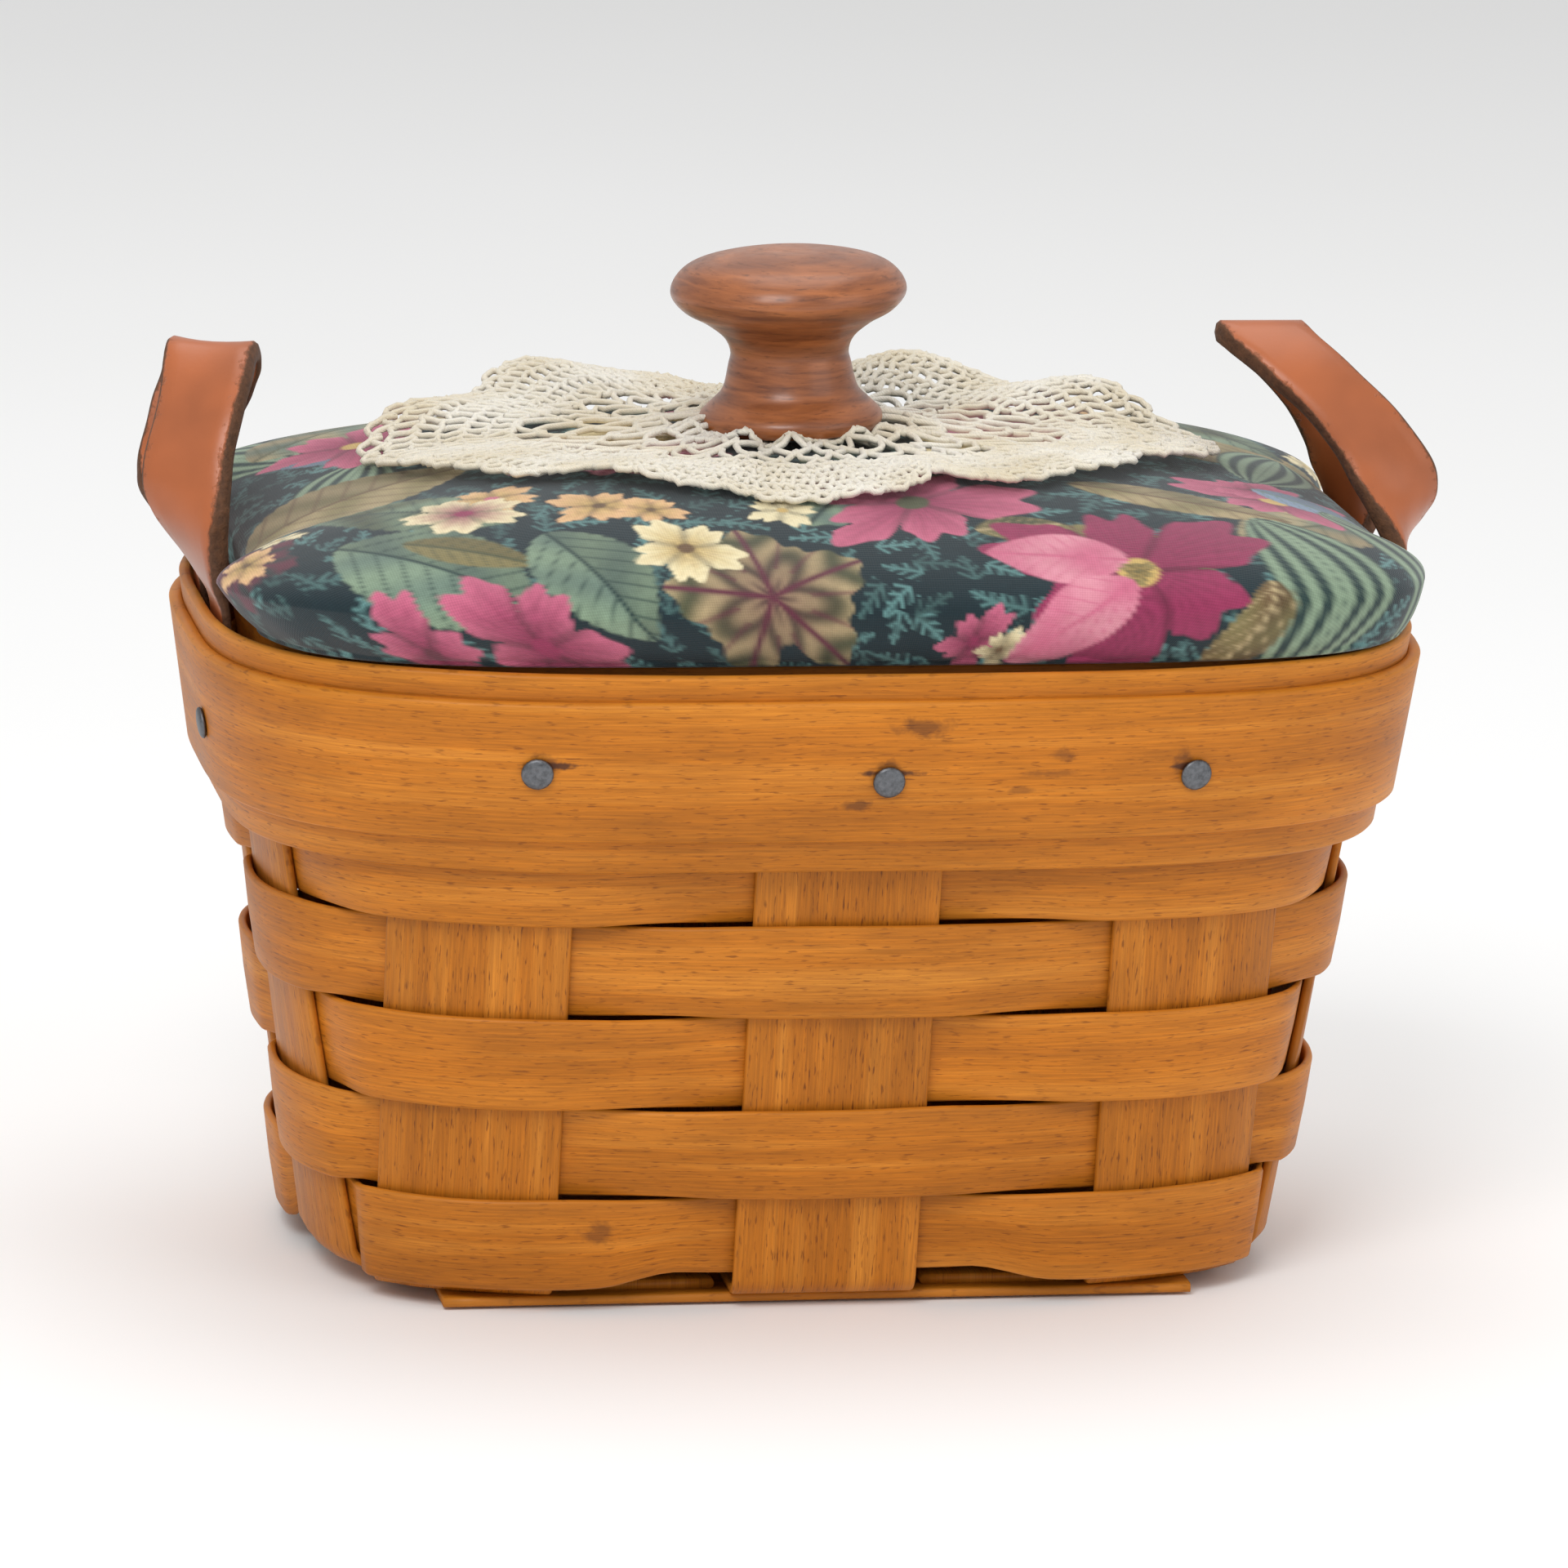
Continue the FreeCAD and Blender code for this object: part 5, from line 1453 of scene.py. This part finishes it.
class BASKET_OT_pad(bpy.types.Operator):
    """Stretches the printed cotton over the lid's padding"""
    bl_idname = "basket.pad"
    bl_label = "Padded Cover"

    def execute(self, context):
        made = pad_mesh("padded_cover")
        finish_piece(made, "lid", "floral_cotton", cotton_finish("printed_cotton"), "lid_cover", "foam_pad")
        return {"FINISHED"}


class BASKET_OT_lid_wood(bpy.types.Operator):
    """Finishes the lid's board, its lining board and its screws"""
    bl_idname = "basket.lid_wood"
    bl_label = "Lid Board And Screws"

    def execute(self, context):
        wood = plywood_finish("raw_plywood")
        steel = steel_finish("zinc_steel", srgb(186, 188, 190))
        for node, material in (("lid_board", wood), ("lid_liner", wood), ("liner_screws", steel),
                               ("knob_screw", steel), ("screw_washer", steel)):
            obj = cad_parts[node]
            obj.data.materials.clear()
            obj.data.materials.append(material)
        return {"FINISHED"}


class BASKET_OT_doily(bpy.types.Operator):
    """Crochets the doily and drapes it under the knob"""
    bl_idname = "basket.doily"
    bl_label = "Crochet Doily"

    def execute(self, context):
        lid = settings()[1]
        points, edges = thread_net()
        mesh = bpy.data.meshes.new("doily_net")
        mesh.from_pydata((points * MM).tolist(), edges, [])
        material = crochet_finish("crochet_thread")
        made = apply_tree(new_object("doily_net", mesh), thread_tree(material),
                          {"Thread Radius": lid.thread_radius, "Sides": 5}, "doily")
        finish_piece(made, "lid", "crochet_cotton", material, "crochet_doily")
        return {"FINISHED"}


class BASKET_OT_knob(bpy.types.Operator):
    """Turns the knob and seats it on the doily"""
    bl_idname = "basket.knob"
    bl_label = "Turned Knob"

    def execute(self, context):
        made = lathe("turned_knob", smooth_profile(KNOB_SIDE))
        lean = Matrix.Rotation(math.radians(-KNOB_LEAN), 4, "Y")
        seat_z = KNOB_LOW[2] + math.sin(math.radians(KNOB_LEAN)) * KNOB_FOOT
        seat = Matrix.Translation(Vector((KNOB_X, 0, seat_z)) * MM)
        made.data.transform(seat @ lean)
        finish_piece(made, "lid", "knob_wood", knob_finish("turned_beech", KNOB_LEAN), "knob")
        return {"FINISHED"}


FLOOR_HALF = 2500
FLOOR_Z = -0.4                # just under the base, so that the two don't touch
CAMERA_ANGLES = (9.94, 12.58, 1.47)     # degrees to the left, above level and of roll
CAMERA_DISTANCE = 1237.5
CAMERA_AIM_Z = 51.6


class BASKET_OT_stage(bpy.types.Operator):
    """Sets the pale floor, the soft studio lights and the camera"""
    bl_idname = "basket.stage"
    bl_label = "Studio"

    def execute(self, context):
        corners = [(x * FLOOR_HALF, y * FLOOR_HALF, FLOOR_Z) for x, y in ((-1, -1), (1, -1), (1, 1), (-1, 1))]
        floor = mesh_object("floor", corners, [(0, 1, 2, 3)], smooth=False)
        paper = Finish("studio_paper", rough=0.9, specular=0.1)
        tone = paper.noise(paper.coordinates((3, 3, 3)), 1.0, 2.0)
        paper.colour(paper.ramp(tone, (0.0, srgb(246, 246, 245)), (1.0, srgb(250, 250, 250))))
        floor.data.materials.append(paper.material)

        world = bpy.data.worlds.new("studio")
        world.use_nodes = True
        world.node_tree.nodes["Background"].inputs["Color"].default_value = (1, 1, 1, 1)
        world.node_tree.nodes["Background"].inputs["Strength"].default_value = 0.62
        bpy.context.scene.world = world
        bpy.context.scene.view_settings.view_transform = "Standard"

        for name, place, size, energy in (("key", (-0.45, -0.9, 1.0), 0.6, 8.0),
                                          ("fill", (0.9, -0.8, 0.5), 0.9, 2.2),
                                          ("top", (0.1, 0.25, 1.2), 0.9, 4.5)):
            light = bpy.data.lights.new(name, "AREA")
            light.size = size
            light.energy = energy
            lamp = new_object(name, light)
            lamp.location = place
            lamp.rotation_euler = (Vector((0, 0, 0.06)) - lamp.location).to_track_quat("-Z", "Y").to_euler()

        yaw, pitch, roll = (math.radians(a) for a in CAMERA_ANGLES)
        forward = Vector((math.sin(yaw) * math.cos(pitch), math.cos(yaw) * math.cos(pitch), -math.sin(pitch)))
        right = Vector((math.cos(yaw), -math.sin(yaw), 0))
        up = right.cross(forward)
        tilted_right = math.cos(roll) * right + math.sin(roll) * up
        tilted_up = -math.sin(roll) * right + math.cos(roll) * up
        camera = bpy.data.cameras.new("camera")
        camera.lens = 211.2
        camera.sensor_width = 36
        camera.shift_y = 0.048
        camera.clip_start = 0.05
        view = new_object("camera", camera)
        turn = Matrix((tilted_right, tilted_up, -forward)).transposed()
        place = Vector((0, 0, CAMERA_AIM_Z * MM)) - forward * CAMERA_DISTANCE * MM
        view.matrix_world = Matrix.Translation(place) @ turn.to_4x4()
        bpy.context.scene.camera = view
        return {"FINISHED"}


OPERATORS = (BASKET_OT_rim_bands, BASKET_OT_weavers, BASKET_OT_stakes, BASKET_OT_tacks, BASKET_OT_ears,
             BASKET_OT_pad, BASKET_OT_lid_wood, BASKET_OT_doily, BASKET_OT_knob, BASKET_OT_stage)


class BASKET_PT_maker(bpy.types.Panel):
    """Lists the steps that make the basket"""
    bl_label = "Sewing Basket"
    bl_idname = "BASKET_PT_maker"
    bl_space_type = "VIEW_3D"
    bl_region_type = "UI"
    bl_category = "Basket"

    def draw(self, context):
        for group in (context.scene.basket_wood, context.scene.basket_lid, context.scene.basket_ears):
            for key in group.__annotations__:
                self.layout.prop(group, key)
        for operator in OPERATORS:
            self.layout.operator(operator.bl_idname)


GROUPS = (WoodSettings, LidSettings, EarSettings)


def register():
    for made in GROUPS + OPERATORS + (BASKET_PT_maker,):
        bpy.utils.register_class(made)
    bpy.types.Scene.basket_wood = bpy.props.PointerProperty(type=WoodSettings)
    bpy.types.Scene.basket_lid = bpy.props.PointerProperty(type=LidSettings)
    bpy.types.Scene.basket_ears = bpy.props.PointerProperty(type=EarSettings)


def unregister():
    del bpy.types.Scene.basket_ears, bpy.types.Scene.basket_lid, bpy.types.Scene.basket_wood
    for made in reversed(GROUPS + OPERATORS + (BASKET_PT_maker,)):
        bpy.utils.unregister_class(made)


def main():
    register()
    for operator in OPERATORS:
        group, name = operator.bl_idname.split(".")
        getattr(getattr(bpy.ops, group), name)()
    bpy.context.view_layer.update()


if __name__ == "__main__":
    main()
